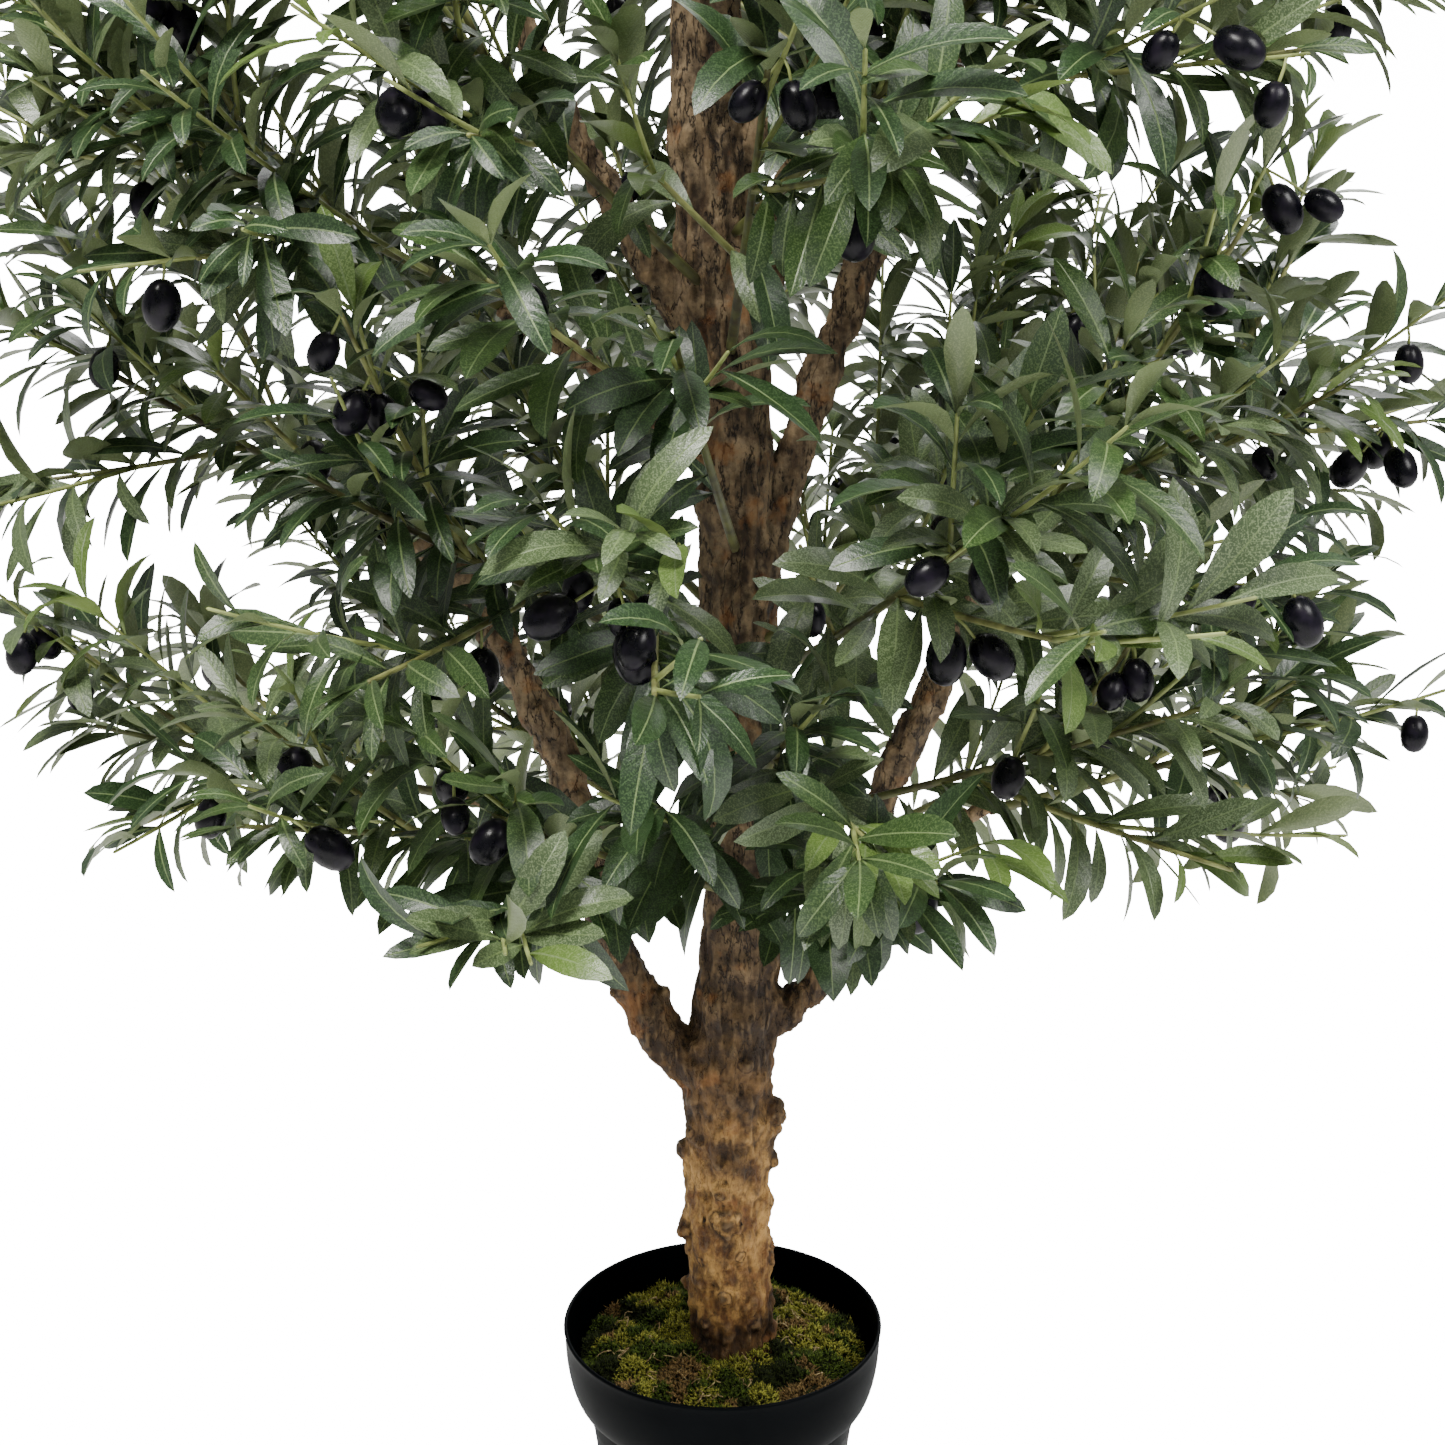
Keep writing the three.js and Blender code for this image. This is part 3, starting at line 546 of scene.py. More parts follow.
corners = np.zeros(len(wood.data.vertices) * 3)
wood.data.vertices.foreach_get("co", corners)
knot_away = [np.linalg.norm(corners.reshape(-1, 3) - on_bark(height, azimuth, 0), axis=1) / radius
             for height, azimuth, radius, _ in KNOTS + SMALL_KNOTS]
wood.data.attributes.new("knot", "FLOAT", "POINT").data.foreach_set(
    "value", np.min(knot_away, axis=0).clip(0, 3).astype(np.float32))
weights = {"worn": [], "rough": []}
for corner in wood.data.vertices:
    worn = smooth(min(1, max(0, (WORN_BELOW + WORN_EDGE / 2 - corner.co.z) / WORN_EDGE)))
    weights["worn"].append(worn)
    weights["rough"].append(1 - worn * WORN_SMOOTHER)
for name, shares in weights.items():
    region = wood.vertex_groups.new(name=name)
    for number, share in enumerate(shares):
        region.add((number,), share, "REPLACE")


for kind, grain, stretch, strength, region, settings in BARK_RELIEF:
    pattern = bpy.data.textures.new("bark_" + kind.lower(), kind)
    pattern.noise_scale = grain
    for key, value in settings.items():
        setattr(pattern, key, value)
    deselect()
    bpy.ops.object.empty_add(location=PATTERN_PLACE)
    guide = bpy.context.object
    guide.scale = (1, 1, stretch)
    bpy.context.view_layer.update()
    relief = wood.modifiers.new("bark", "DISPLACE")
    relief.texture = pattern
    relief.texture_coords = "OBJECT"
    relief.texture_coords_object = guide
    relief.strength = strength
    relief.mid_level = 0.5
    relief.vertex_group = region
    select_only(wood)
    apply_modifiers(wood)
    bpy.data.objects.remove(guide)
thinner = wood.modifiers.new("thinned", "DECIMATE")
thinner.ratio = WOOD_KEPT
apply_modifiers(wood)
bpy.ops.object.shade_smooth()


BARK_TONES = (  # height, dark tone and light tone: stained foot, worn tan wood, mottled fork, grey-brown bark
    (0.150, (0.010, 0.004, 0.0015), (0.08, 0.037, 0.012)),
    (0.215, (0.018, 0.008, 0.003), (0.16, 0.08, 0.026)),
    (0.235, (0.13, 0.053, 0.013), (0.55, 0.31, 0.095)),
    (0.325, (0.15, 0.066, 0.018), (0.58, 0.335, 0.11)),
    (0.365, (0.045, 0.023, 0.008), (0.20, 0.11, 0.043)),
    (0.420, (0.028, 0.015, 0.0055), (0.135, 0.078, 0.032)),
    (0.520, (0.031, 0.019, 0.010), (0.21, 0.143, 0.077)),
    (0.700, (0.040, 0.026, 0.014), (0.26, 0.187, 0.108)),
)
TONES_BETWEEN = (0.2, 0.8)  # the ragged heights at the ends of the colour ramps
RAGGED_RISE = 0.16  # what the ragged borders add to a height on average
FIBRES_DRAWN_OUT = 0.3  # the pattern's scale along the trunk


def math_node(tree, kind, first, second=0.0, third=0.0):
    node = tree.nodes.new("ShaderNodeMath")
    node.operation = kind
    for socket, value in zip(node.inputs, (first, second, third)):
        give(tree, socket, value)
    return node.outputs[0]


def tones_by_height(tree, ragged, column):
    """The dark or the light tone of the bark, following the height with ragged borders."""
    level = tree.nodes.new("ShaderNodeValToRGB")
    tree.links.new(range_node(tree, ragged, *TONES_BETWEEN, 0.0, 1.0), level.inputs["Fac"])
    ramp = level.color_ramp
    while len(ramp.elements) < len(BARK_TONES):
        ramp.elements.new(0.5)
    low, high = TONES_BETWEEN
    for element, row in zip(ramp.elements, BARK_TONES):
        element.position = (row[0] + RAGGED_RISE - low) / (high - low)
        element.color = (*row[column], 1)
    return level.outputs["Color"]


def bark():
    """Dark foot, worn tan wood above it, dark mottled bark round the fork, cracked grey-brown bark above,
    with painted shade in the hollows and painted highlights on the ridges.
    """
    material, tree, shader = node_material("bark")
    place = object_place(tree)
    mapping = tree.nodes.new("ShaderNodeMapping")
    mapping.inputs["Scale"].default_value = (1, 1, FIBRES_DRAWN_OUT)
    tree.links.new(place, mapping.inputs["Vector"])
    drawn_out = mapping.outputs["Vector"]
    fibre = noise_node(tree, drawn_out, 210, 6, 0.7)
    strips = noise_node(tree, drawn_out, 80, 5, 0.6)
    crack_line = noise_node(tree, drawn_out, 85, 4, 0.6)
    patch = noise_node(tree, place, 38, 4, 0.6)
    blotch = noise_node(tree, place, 62, 6, 0.62)
    speckle = noise_node(tree, place, 520, 3, 0.7)
    border = noise_node(tree, place, 11, 2)
    split = tree.nodes.new("ShaderNodeSeparateXYZ")
    tree.links.new(place, split.inputs["Vector"])
    height = split.outputs["Z"]
    bordered = math_node(tree, "MULTIPLY_ADD", border, 0.22, height)
    ragged = math_node(tree, "MULTIPLY_ADD", patch, 0.10, bordered)
    uneven = math_node(tree, "MULTIPLY_ADD", strips, 0.40, math_node(tree, "MULTIPLY", blotch, 0.60))

    stain = math_node(tree, "MULTIPLY", range_node(tree, patch, 0.51, 0.60, 0.0, 1.0),
                      range_node(tree, blotch, 0.42, 0.60, 0.8, 0.2))
    from_line = math_node(tree, "ABSOLUTE", math_node(tree, "SUBTRACT", crack_line, 0.5))
    crack = math_node(tree, "MULTIPLY", range_node(tree, from_line, 0.004, 0.022, 1.0, 0.0),
                      range_node(tree, height, 0.34, 0.50, 0.25, 0.9))
    knot = tree.nodes.new("ShaderNodeAttribute")
    knot.attribute_name = "knot"
    uneven_knot = math_node(tree, "MULTIPLY_ADD", blotch, -1.3, knot.outputs["Fac"])
    ring_line = math_node(tree, "PINGPONG", uneven_knot, KNOT_RING)
    ring_share = range_node(tree, ring_line, KNOT_RING * 0.75, KNOT_RING * 0.2, 1.0, 0.0)
    ring = math_node(tree, "MULTIPLY", ring_share, range_node(tree, uneven_knot, 0.45, 0.25, 0.0, 0.85))
    pointiness_for_painted_light = tree.nodes.new("ShaderNodeNewGeometry").outputs["Pointiness"]

    colour = colour_mix(tree, range_node(tree, uneven, 0.42, 0.57, 0.0, 1.0),
                        tones_by_height(tree, ragged, 1), tones_by_height(tree, ragged, 2))
    for share, tone in (
            (range_node(tree, fibre, 0.36, 0.48, 0.42, 0.0), (0.04, 0.02, 0.008)),
            (range_node(tree, speckle, 0.56, 0.68, 0.0, 0.5), (0.035, 0.02, 0.011)),
            (stain, (0.035, 0.018, 0.008)),
            (crack, (0.010, 0.006, 0.003)),
            (ring, (0.022, 0.010, 0.004)),
            (range_node(tree, uneven_knot, -0.25, -0.42, 0.0, 0.85), (0.012, 0.007, 0.004)),
            (range_node(tree, patch, 0.42, 0.32, 0.0, 0.45), (0.28, 0.11, 0.028)),
            # Painted shade: darker in the hollows that Pointiness finds. Painted highlight: lighter on the
            # ridges.
            (range_node(tree, pointiness_for_painted_light, 0.42, 0.495, 0.95, 0.0), (0.012, 0.008, 0.005)),
            (range_node(tree, pointiness_for_painted_light, 0.51, 0.59, 0.0, 0.4), (0.48, 0.32, 0.16))):
        colour = colour_mix(tree, share, colour, tone)
    split_bark = bump_node(tree, math_node(tree, "MULTIPLY_ADD", crack, -0.8, strips), 0.8, 0.003)
    coarse = bump_node(tree, fibre, 0.7, 0.0016, split_bark)
    dress(tree, shader, colour, range_node(tree, blotch, 0.3, 0.7, 0.6, 0.9),
          bump_node(tree, speckle, 0.6, 0.0010, coarse), 0.35)
    return material


wood.data.materials.clear()
wood.data.materials.append(bark())
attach(wood, "root")
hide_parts(*limbs)

# Moss. Dried natural moss is pressed loose on the cement, so that it rises towards the trunk and leaves the
# inside of the rim bare. A lumpy mound carries thousands of short fronds, and some pale straw lies in it.
MOSS_EDGE = 0.0992
MOSS_FOOT = 0.1545
MOSS_EDGE_HEIGHT = 0.1660
MOSS_CROWN = 0.1805
MOSS_RINGS = 7
MOSS_SIDES = 96
MOSS_LUMPS = ((0.022, 0.009), (0.007, 0.005), (0.0025, 0.0025))  # the size and height of each layer of lumps


def moss_height(radius):
    """The mound's height at a distance from the pot's axis."""
    share = np.clip(np.asarray(radius) / MOSS_EDGE, 0, 1)
    return MOSS_EDGE_HEIGHT + (MOSS_CROWN - MOSS_EDGE_HEIGHT) * (1 - share ** 2.2)


deselect()
bpy.ops.mesh.primitive_cylinder_add(
    vertices=MOSS_SIDES, radius=MOSS_EDGE, depth=MOSS_EDGE_HEIGHT - MOSS_FOOT,
    location=(0, 0, (MOSS_EDGE_HEIGHT + MOSS_FOOT) / 2))
mound = bpy.context.object
mound.name = "moss_mound"
bpy.ops.object.transform_apply(location=True, rotation=True, scale=True)
edit_faces(mound, "normal", lambda height: height > 0.9)
ring_width = MOSS_EDGE / (MOSS_RINGS + 1)
for ring in range(MOSS_RINGS):
    inner = MOSS_EDGE - ring_width * (ring + 1)
    lift = float(moss_height(inner) - moss_height(inner + ring_width))
    bpy.ops.mesh.inset(thickness=ring_width, depth=lift)
bpy.ops.mesh.poke()
bpy.ops.object.mode_set(mode="OBJECT")
fine = mound.modifiers.new("finer", "SUBSURF")
fine.subdivision_type = "SIMPLE"
fine.levels = fine.render_levels = 2
for grain, strength in MOSS_LUMPS:
    lumps = bpy.data.textures.new("moss_lumps", "CLOUDS")
    lumps.noise_scale = grain
    lumps.noise_depth = 2
    swell = mound.modifiers.new("lumps", "DISPLACE")
    swell.texture = lumps
    swell.texture_coords = "GLOBAL"
    swell.direction = "Z"
    swell.strength = strength
    swell.mid_level = 0.55
apply_modifiers(mound)
bpy.ops.object.shade_smooth()


def moss_finish(name, dark, light):
    """Dried moss in one of its tones, uneven from place to place."""
    material, tree, shader = node_material(name)
    uneven = noise_node(tree, object_place(tree), 480, 4, 0.6)
    colour = colour_mix(tree, range_node(tree, uneven, 0.40, 0.62, 0.0, 1.0), dark, light)
    dress(tree, shader, colour, 0.95, bump_node(tree, uneven, 0.8, 0.0015), 0.2)
    return material


# The bed under the fronds is nearly black: the moss's own dark depths, with painted shade between the fronds.
mound.data.materials.append(moss_finish("moss_bed", (0.005, 0.006, 0.002), (0.03, 0.032, 0.008)))
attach(mound, "root")
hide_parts("moss")


def joined_mesh(name, places, faces, finish_index, finishes):
    """One piece from arrays: its points, its faces as rows of point numbers, with -1 for a missing fourth
    corner, the number of each face's finish, and the finishes."""
    corners = (faces >= 0).sum(axis=1)
    mesh = bpy.data.meshes.new(name)
    mesh.vertices.add(len(places))
    mesh.vertices.foreach_set("co", np.ascontiguousarray(places, np.float32).ravel())
    mesh.loops.add(int(corners.sum()))
    mesh.loops.foreach_set("vertex_index", faces[faces >= 0].astype(np.int32))
    mesh.polygons.add(len(faces))
    mesh.polygons.foreach_set("loop_start", (np.cumsum(corners) - corners).astype(np.int32))
    mesh.polygons.foreach_set("material_index", np.asarray(finish_index, np.int32))
    for finish in finishes:
        mesh.materials.append(finish)
    mesh.update(calc_edges=True)
    piece = bpy.data.objects.new(name, mesh)
    scene.collection.objects.link(piece)
    select_only(piece)
    return piece


def repeated(faces, copies, points):
    """The faces of one small shape with so many points, repeated for many copies of it."""
    shift = np.arange(copies)[:, None, None] * points
    return np.where(faces[None] < 0, -1, faces[None] + shift).reshape(-1, faces.shape[1])


def unit(vectors):
    return vectors / np.maximum(np.linalg.norm(vectors, axis=-1, keepdims=True), 1e-9)


FROND_FACES = np.array([(0, 2, 1), (0, 1, 3), (1, 2, 3), (2, 0, 3)])
FROND_COUNT = 22000
FROND_LENGTH = (0.002, 0.006)
FROND_WIDTH = 0.0009
THREE_ROUND = (0, 2.1, 4.2)  # the angles of a thin three-sided shape's corners
CLUMPS = 150
CLUMP_RISE = (0.0065, 0.008)  # how far a clump of fronds stands up, and its radius
MOSS_TONES = (0.34, 0.34, 0.2, 0.12)  # the shares of green, yellow-green, dark and brown clumps
STRAWS = 60
STRAW_STEPS = 6
STRAW_ARCH = 0.0045
STRAW_RADIUS = 0.0005


def moss_fronds():
    """Short fronds all over the mound, their tones dealt out by clump."""
    dice = np.random.default_rng(7)
    radius = MOSS_EDGE * np.sqrt(dice.uniform(0, 0.97, FROND_COUNT))
    angle = dice.uniform(0, 2 * math.pi, FROND_COUNT)
    spots = np.stack((radius * np.cos(angle), radius * np.sin(angle)), 1)
    trunk_middle, trunk_radius = trunk_at(0.175)
    spots = spots[np.linalg.norm(spots - trunk_middle[:2], axis=1) > trunk_radius - 0.002]
    count = len(spots)
    clumps = MOSS_EDGE * np.sqrt(dice.uniform(0, 1, CLUMPS))[:, None] * unit(dice.normal(size=(CLUMPS, 2)))
    near = np.argmin(np.linalg.norm(spots[:, None] - clumps[None], axis=2), axis=1)
    tone = dice.choice(4, CLUMPS, p=MOSS_TONES)[near]
    away = np.linalg.norm(spots - clumps[near], axis=1)
    lift = CLUMP_RISE[0] * np.exp(-(away / CLUMP_RISE[1]) ** 2)
    height = moss_height(np.linalg.norm(spots, axis=1)) - 0.001 + lift + dice.uniform(-0.001, 0.0015, count)
    root = np.column_stack((spots, height))
    lean = np.column_stack(((spots - clumps[near]) / 0.012, np.zeros(count)))
    way = unit(lean + dice.normal(0, 0.55, (count, 3)) + (0, 0, 0.75))
    long = dice.uniform(*FROND_LENGTH, count)[:, None]
    side = unit(np.cross(way, dice.normal(size=(count, 3))))
    over = np.cross(way, side)
    corners = [root + FROND_WIDTH * (side * math.cos(a) + over * math.sin(a)) for a in THREE_ROUND]
    places = np.stack([*corners, root + way * long], 1).reshape(-1, 3)
    faces = repeated(FROND_FACES, count, 4)
    return places, faces, np.repeat(tone, len(FROND_FACES))


def moss_straws():
    """Thin curled straws that lie in the moss."""
    dice = np.random.default_rng(19)
    places, faces = [], []
    for _ in range(STRAWS):
        spot = (MOSS_EDGE - 0.02) * math.sqrt(dice.uniform(0.12, 1)) * unit(dice.normal(size=2))
        turn, bend = dice.uniform(0, 2 * math.pi), dice.uniform(-60, 60)
        point = np.array((*spot, 0.0))
        first = len(places)
        for step in range(STRAW_STEPS + 1):
            hop = STRAW_ARCH * math.sin(math.pi * step / STRAW_STEPS)
            point[2] = float(moss_height(np.linalg.norm(point[:2]))) + 0.003 + hop
            across = np.array((-math.sin(turn), math.cos(turn), 0))
            places += [point + STRAW_RADIUS * (across * math.cos(angle) + np.array((0, 0, math.sin(angle))))
                       for angle in THREE_ROUND]
            point = point + np.array((math.cos(turn), math.sin(turn), 0)) * dice.uniform(0.002, 0.0035)
            turn += bend
            bend *= 0.3
        for low in range(first, first + STRAW_STEPS * 3, 3):
            faces += [(low + a, low + (a + 1) % 3, low + 3 + (a + 1) % 3, low + 3 + a) for a in range(3)]
        last = first + STRAW_STEPS * 3
        faces += [(first + 2, first + 1, first, -1), (last, last + 1, last + 2, -1)]
    return np.array(places), np.array(faces)


frond_places, frond_faces, frond_tones = moss_fronds()
fronds = joined_mesh("moss_fronds", frond_places, frond_faces, frond_tones, [
    moss_finish("moss_green", (0.008, 0.016, 0.002), (0.10, 0.15, 0.02)),
    moss_finish("moss_yellow_green", (0.05, 0.058, 0.008), (0.45, 0.44, 0.075)),
    moss_finish("moss_dark", (0.006, 0.009, 0.002), (0.030, 0.042, 0.007)),
    moss_finish("moss_brown", (0.035, 0.023, 0.007), (0.34, 0.22, 0.085)),
])
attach(fronds, "root")
straw_places, straw_faces = moss_straws()
straws = joined_mesh("moss_straws", straw_places, straw_faces, np.zeros(len(straw_faces)),
                     [moss_finish("straw", (0.18, 0.12, 0.05), (0.6, 0.47, 0.24))])
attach(straws, "root")

# Stems and twigs. Each mass of foliage grows from a bough's tip or from the trunk: one green plastic-covered
# wire stem, shoots that leave it by a seeded rule, and finer twigs along both, inside the mass's own space.
MASSES = {  # what it grows from and where, azimuth, rise, reach, shoots, and its fullness in finer twigs
    "low_left_leaves": ("left_side_bough", None, 186, 12, 0.300, 4, 1.0),
    "low_right_leaves": ("right_side_bough", None, 356, 16, 0.290, 4, 0.8),
    "low_front_left_leaves": ("trunk", 0.515, 243, 24, 0.310, 3, 0.0),
    "low_front_leaves": ("trunk", 0.530, 261, 24, 0.300, 2, 0.0),
    "low_front_right_leaves": ("trunk", 0.520, 282, 17, 0.280, 2, 0.0),
    "low_left_front_leaves": ("trunk", 0.550, 220, 12, 0.400, 4, 0.8),
    "low_right_front_leaves": ("trunk", 0.560, 314, 22, 0.400, 4, 0.7),
    "low_back_left_leaves": ("trunk", 0.520, 140, 18, 0.400, 4, 1.2),
    "low_back_right_leaves": ("trunk", 0.510, 36, 10, 0.420, 4, 0.6),
    "mid_front_leaves": ("trunk", 0.580, 275, 23, 0.300, 3, 0.0),
    "left_leaves": ("low_left_bough", None, 176, 26, 0.320, 5, 1.0),
    "right_leaves": ("low_right_bough", None, 4, 26, 0.320, 5, 0.6),
    "left_front_leaves": ("trunk", 0.660, 228, 26, 0.420, 4, 0.9),
    "front_left_leaves": ("trunk", 0.640, 258, 25, 0.360, 3, 0.1),
    "front_right_leaves": ("trunk", 0.650, 288, 24, 0.410, 3, 0.1),
    "right_front_leaves": ("trunk", 0.680, 314, 26, 0.420, 4, 1.1),
    "back_leaves": ("low_back_bough", None, 92, 22, 0.300, 4, 1.6),
    "back_left_leaves": ("trunk", 0.690, 134, 28, 0.440, 5, 1.3),
    "back_right_leaves": ("trunk", 0.650, 46, 28, 0.440, 5, 1.9),
    "upper_front_leaves": ("trunk", 0.740, 264, 27, 0.350, 2, 0.0),
    "high_left_front_leaves": ("mid_left_bough", None, 212, 26, 0.300, 5, 1.8),
    "high_left_leaves": ("high_left_bough", None, 178, 24, 0.340, 5, 1.8),
    "high_right_leaves": ("mid_right_bough", None, 14, 26, 0.330, 5, 1.8),
    "high_right_front_leaves": ("high_right_bough", None, 330, 22, 0.350, 5, 1.9),
    "high_front_leaves": ("trunk", 0.860, 273, 27, 0.350, 3, 0.1),
    "high_front_left_leaves": ("trunk", 0.900, 238, 30, 0.400, 4, 1.8),
    "high_front_right_leaves": ("trunk", 0.930, 304, 30, 0.400, 4, 1.8),
    "high_back_leaves": ("high_back_bough", None, 84, 26, 0.330, 5, 1.8),
    "top_left_leaves": ("top_left_bough", None, 160, 44, 0.340, 4, 1.45),
    "top_right_leaves": ("top_right_bough", None, 14, 44, 0.340, 4, 1.45),
    "top_front_leaves": ("top_front_bough", None, 258, 42, 0.340, 4, 1.65),
    "top_back_leaves": ("top_back_bough", None, 90, 44, 0.340, 4, 1.45),
    "crown_leaves": ("trunk", None, 40, 84, 0.350, 5, 1.45),
}
GAPS = (  # each opens from a limb towards the eye, so that it shows: the limb, where, and the gap's radius
    ("trunk", 0.630, 0.014), ("trunk", 0.710, 0.020), ("trunk", 0.750, 0.028), ("trunk", 0.805, 0.022),
    ("trunk", 0.890, 0.020), ("trunk", 0.950, 0.026), ("trunk", 1.010, 0.026),
    ("low_left_bough", 0.60, 0.018), ("low_left_bough", 0.80, 0.020),
    ("low_right_bough", 0.60, 0.022), ("low_right_bough", 0.80, 0.020),
    ("mid_right_bough", 0.30, 0.020), ("mid_right_bough", 0.52, 0.022),
    ("high_left_bough", 0.30, 0.022), ("high_left_bough", 0.60, 0.022),
)
GAP_LENGTH = 0.6
EYE = np.array(CAMERA_PLACE)
OLIVE_GROUPS = (  # where groups of fruit show in front, and how many hang there
    ((-0.046, -0.30, 0.785), 4), ((0.123, -0.35, 0.815), 3), ((0.083, -0.30, 0.735), 2),
    ((-0.105, -0.27, 0.64), 1), ((0.105, -0.20, 0.66), 1), ((0.21, -0.25, 0.72), 2),
    ((-0.21, -0.28, 0.92), 1), ((-0.29, -0.2, 0.93), 1), ((0.33, -0.15, 0.96), 3),
    ((0.02, -0.3, 1.04), 2), ((0.17, -0.3, 1.04), 2),
)
SHOWN = 0.019  # how far sprays and leaves keep away from the line from those groups to the eye
HANG = 0.03  # how far below its place on a shoot such a group hangs
CROWN_LOW, CROWN_WAIST, CROWN_TOP, CROWN_RADIUS = 0.480, 0.950, 1.800, 0.475
CROWN_LIFT = 0.2  # how much higher the crown starts towards the front, for each metre
CROWN_FLAT = 1.3  # how many times nearer its outline is in front, where only the large sprays stand out
CROWN_POWER = (8, 2.2)  # how round the crown's outline is below and above its waist
LIMB_BULGE = 1.065  # how far the bark stands out from a limb's own radius
STEM_SUNK = 0.6  # where in the trunk a stem starts, in its radii
LINE_SHARE = 0.8  # how much of a mass's reach its middle line has
LARGE_BELOW = 0.5  # masses of less fullness are the few in front that have larger leaves
SHOOT_REACH = (0.82, 0.96)
GOLDEN = 137.5
TRIAL = 0.015
TRUNK_CLEAR = 0.040
ROOM = 0.0025
STEM_SHOOTS = (0.16, 0.66)
SHOOT_SPREAD = (62, 34)
SHOOT_LEAST = 0.080
STEM_RADIUS, SHOOT_RADIUS, TWIG_RADIUS = (0.0034, 0.0015), (0.0022, 0.0013), (0.0016, 0.0010)
STEM_BARE, SHOOT_BARE, TWIG_BARE = 0.3, 0.14, 0.1  # the share of each, from its foot, that carries no leaves
STEM_LIFT, SHOOT_LIFT, TWIG_LIFT = 4, 7, 8  # how many degrees steeper each is at its tip
SHOOT_TWIGS, STEM_TWIGS = (0.16, 0.85), (0.3, 0.9)  # where along them finer twigs grow
FULL_STEM_TWIGS = (0.12, 0.9)  # the same, on the stem of a full mass
LARGE_TWIGS, LARGE_COUNT = (0.72, 0.95), 3  # the same, on the large sprays, and how many
TWIG_REACH = 0.985
TWIG_EVERY = 0.062
TWIG_SPREAD = (42, 24)
TWIG_RISE = 14  # how much steeper than its shoot a finer twig rises
TWIG_LENGTH = (0.20, 0.10)
TWIG_LEAST = 0.045
TWIG_FULLER = 0.8  # how much longer they are for each step of a mass's fullness


def seeded(seed):
    """Numbers from 0 to 1, the same at every run."""
    state = seed

    def draw():
        nonlocal state
        state = (state * 1664525 + 1013904223) % 4294967296
        return state / 4294967296

    return draw


def in_crown(points, reach, large):
    """Whether each point lies in the crown's outline, which starts higher and lies nearer in front."""
    height = points[:, 2] + np.minimum(points[:, 1], 0) * CROWN_LIFT
    low = height < CROWN_WAIST
    far = np.where(low, CROWN_WAIST - CROWN_LOW, CROWN_TOP - CROWN_WAIST)
    share = np.minimum(1, np.abs(height - CROWN_WAIST) / far)
    radius = CROWN_RADIUS * np.sqrt(1 - share ** np.where(low, *CROWN_POWER))
    depth = points[:, 1] if large else np.where(points[:, 1] < 0, points[:, 1] * CROWN_FLAT, points[:, 1])
    return np.hypot(points[:, 0], depth) < radius * reach


def distances(points, starts, ends):
    """The distance from each point to each straight line between two places."""
    span = ends - starts
    offset = points[:, None] - starts[None]
    share = np.clip((offset * span).sum(-1) / (span ** 2).sum(-1), 0, 1)
    return np.linalg.norm(offset - share[..., None] * span, axis=-1)


limb_starts = np.concatenate([frames["point"][:-1] for frames, _ in limbs.values()])
limb_ends = np.concatenate([frames["point"][1:] for frames, _ in limbs.values()])
limb_bulges = np.concatenate([np.maximum(radii[:-1], radii[1:]) for _, radii in limbs.values()]) * LIMB_BULGE


def room_to_limbs(points):
    return (distances(points, limb_starts, limb_ends) - limb_bulges).min(axis=1)


def towards_eye(starts):
    """Lines from some places towards the eye, as their starts and ends."""
    return starts, starts + unit(EYE - starts) * GAP_LENGTH


gap_lines = towards_eye(np.array([spot_on(on, at) for on, at, _ in GAPS]))
gap_radii = np.array([radius for _, _, radius in GAPS])
fruit_lines = towards_eye(np.array([place for place, _ in OLIVE_GROUPS]) - (0, 0, HANG))


def in_gap(points):
    return (distances(points, *gap_lines) < gap_radii).any(axis=1)


def before_fruit(points):
    return (distances(points, *fruit_lines) < SHOWN).any(axis=1)


def root_of(on, at, azimuth):
    """Where a mass's stem starts: sunk into the trunk, or at the middle of a limb's tip."""
    if at is not None:
        middle, radius = trunk_at(at)
        return middle + heading(azimuth, 0) * radius * STEM_SUNK
    frames = limbs[on][0]
    return frames["point"][-1] - frames["ahead"][-1] * 0.002


mass_roots = np.array([root_of(on, at, azimuth) for on, at, azimuth, *_ in MASSES.values()])
mass_ends = mass_roots + [
    heading(azimuth, rise) * reach * LINE_SHARE for _, _, azimuth, rise, reach, *_ in MASSES.values()]


def in_own_space(points, index, margin):
    """Whether each point lies nearer to its mass's middle line than to any other mass's."""
    away = distances(points, mass_roots, mass_ends)
    others = np.delete(away, index, axis=1).min(axis=1)
    return others >= away[:, index] + margin


def is_large(index):
    """Whether a mass is one of the few in front that stand out with larger leaves."""
    return list(MASSES.values())[index][-1] < LARGE_BELOW


def grow_inside(index, start, azimuth, rise, lift, length, reach, margin=ROOM * 2):
    """A line up to where it would leave the crown or its own space, touch a limb, or end in the way of what
    shows."""
    trials = grow(start, azimuth, lambda t: rise + lift * t, length, TRIAL)
    inside = in_crown(trials, reach, is_large(index))
    clear = (np.arange(len(trials)) * TRIAL < TRUNK_CLEAR) | (room_to_limbs(trials) > ROOM)
    good = inside & in_own_space(trials, index, margin) & clear
    good[0] = True
    found = trials[:len(trials) if good.all() else int(np.argmin(good))]
    seen = in_gap(found) | before_fruit(found)
    while len(found) > 3 and seen[len(found) - 1]:
        found = found[:-1]
    return found


def spray_line(kind, points, azimuth, rise, radius, bare):
    return {"kind": kind, "points": points, "azimuth": azimuth, "rise": rise, "radius": radius, "bare": bare}


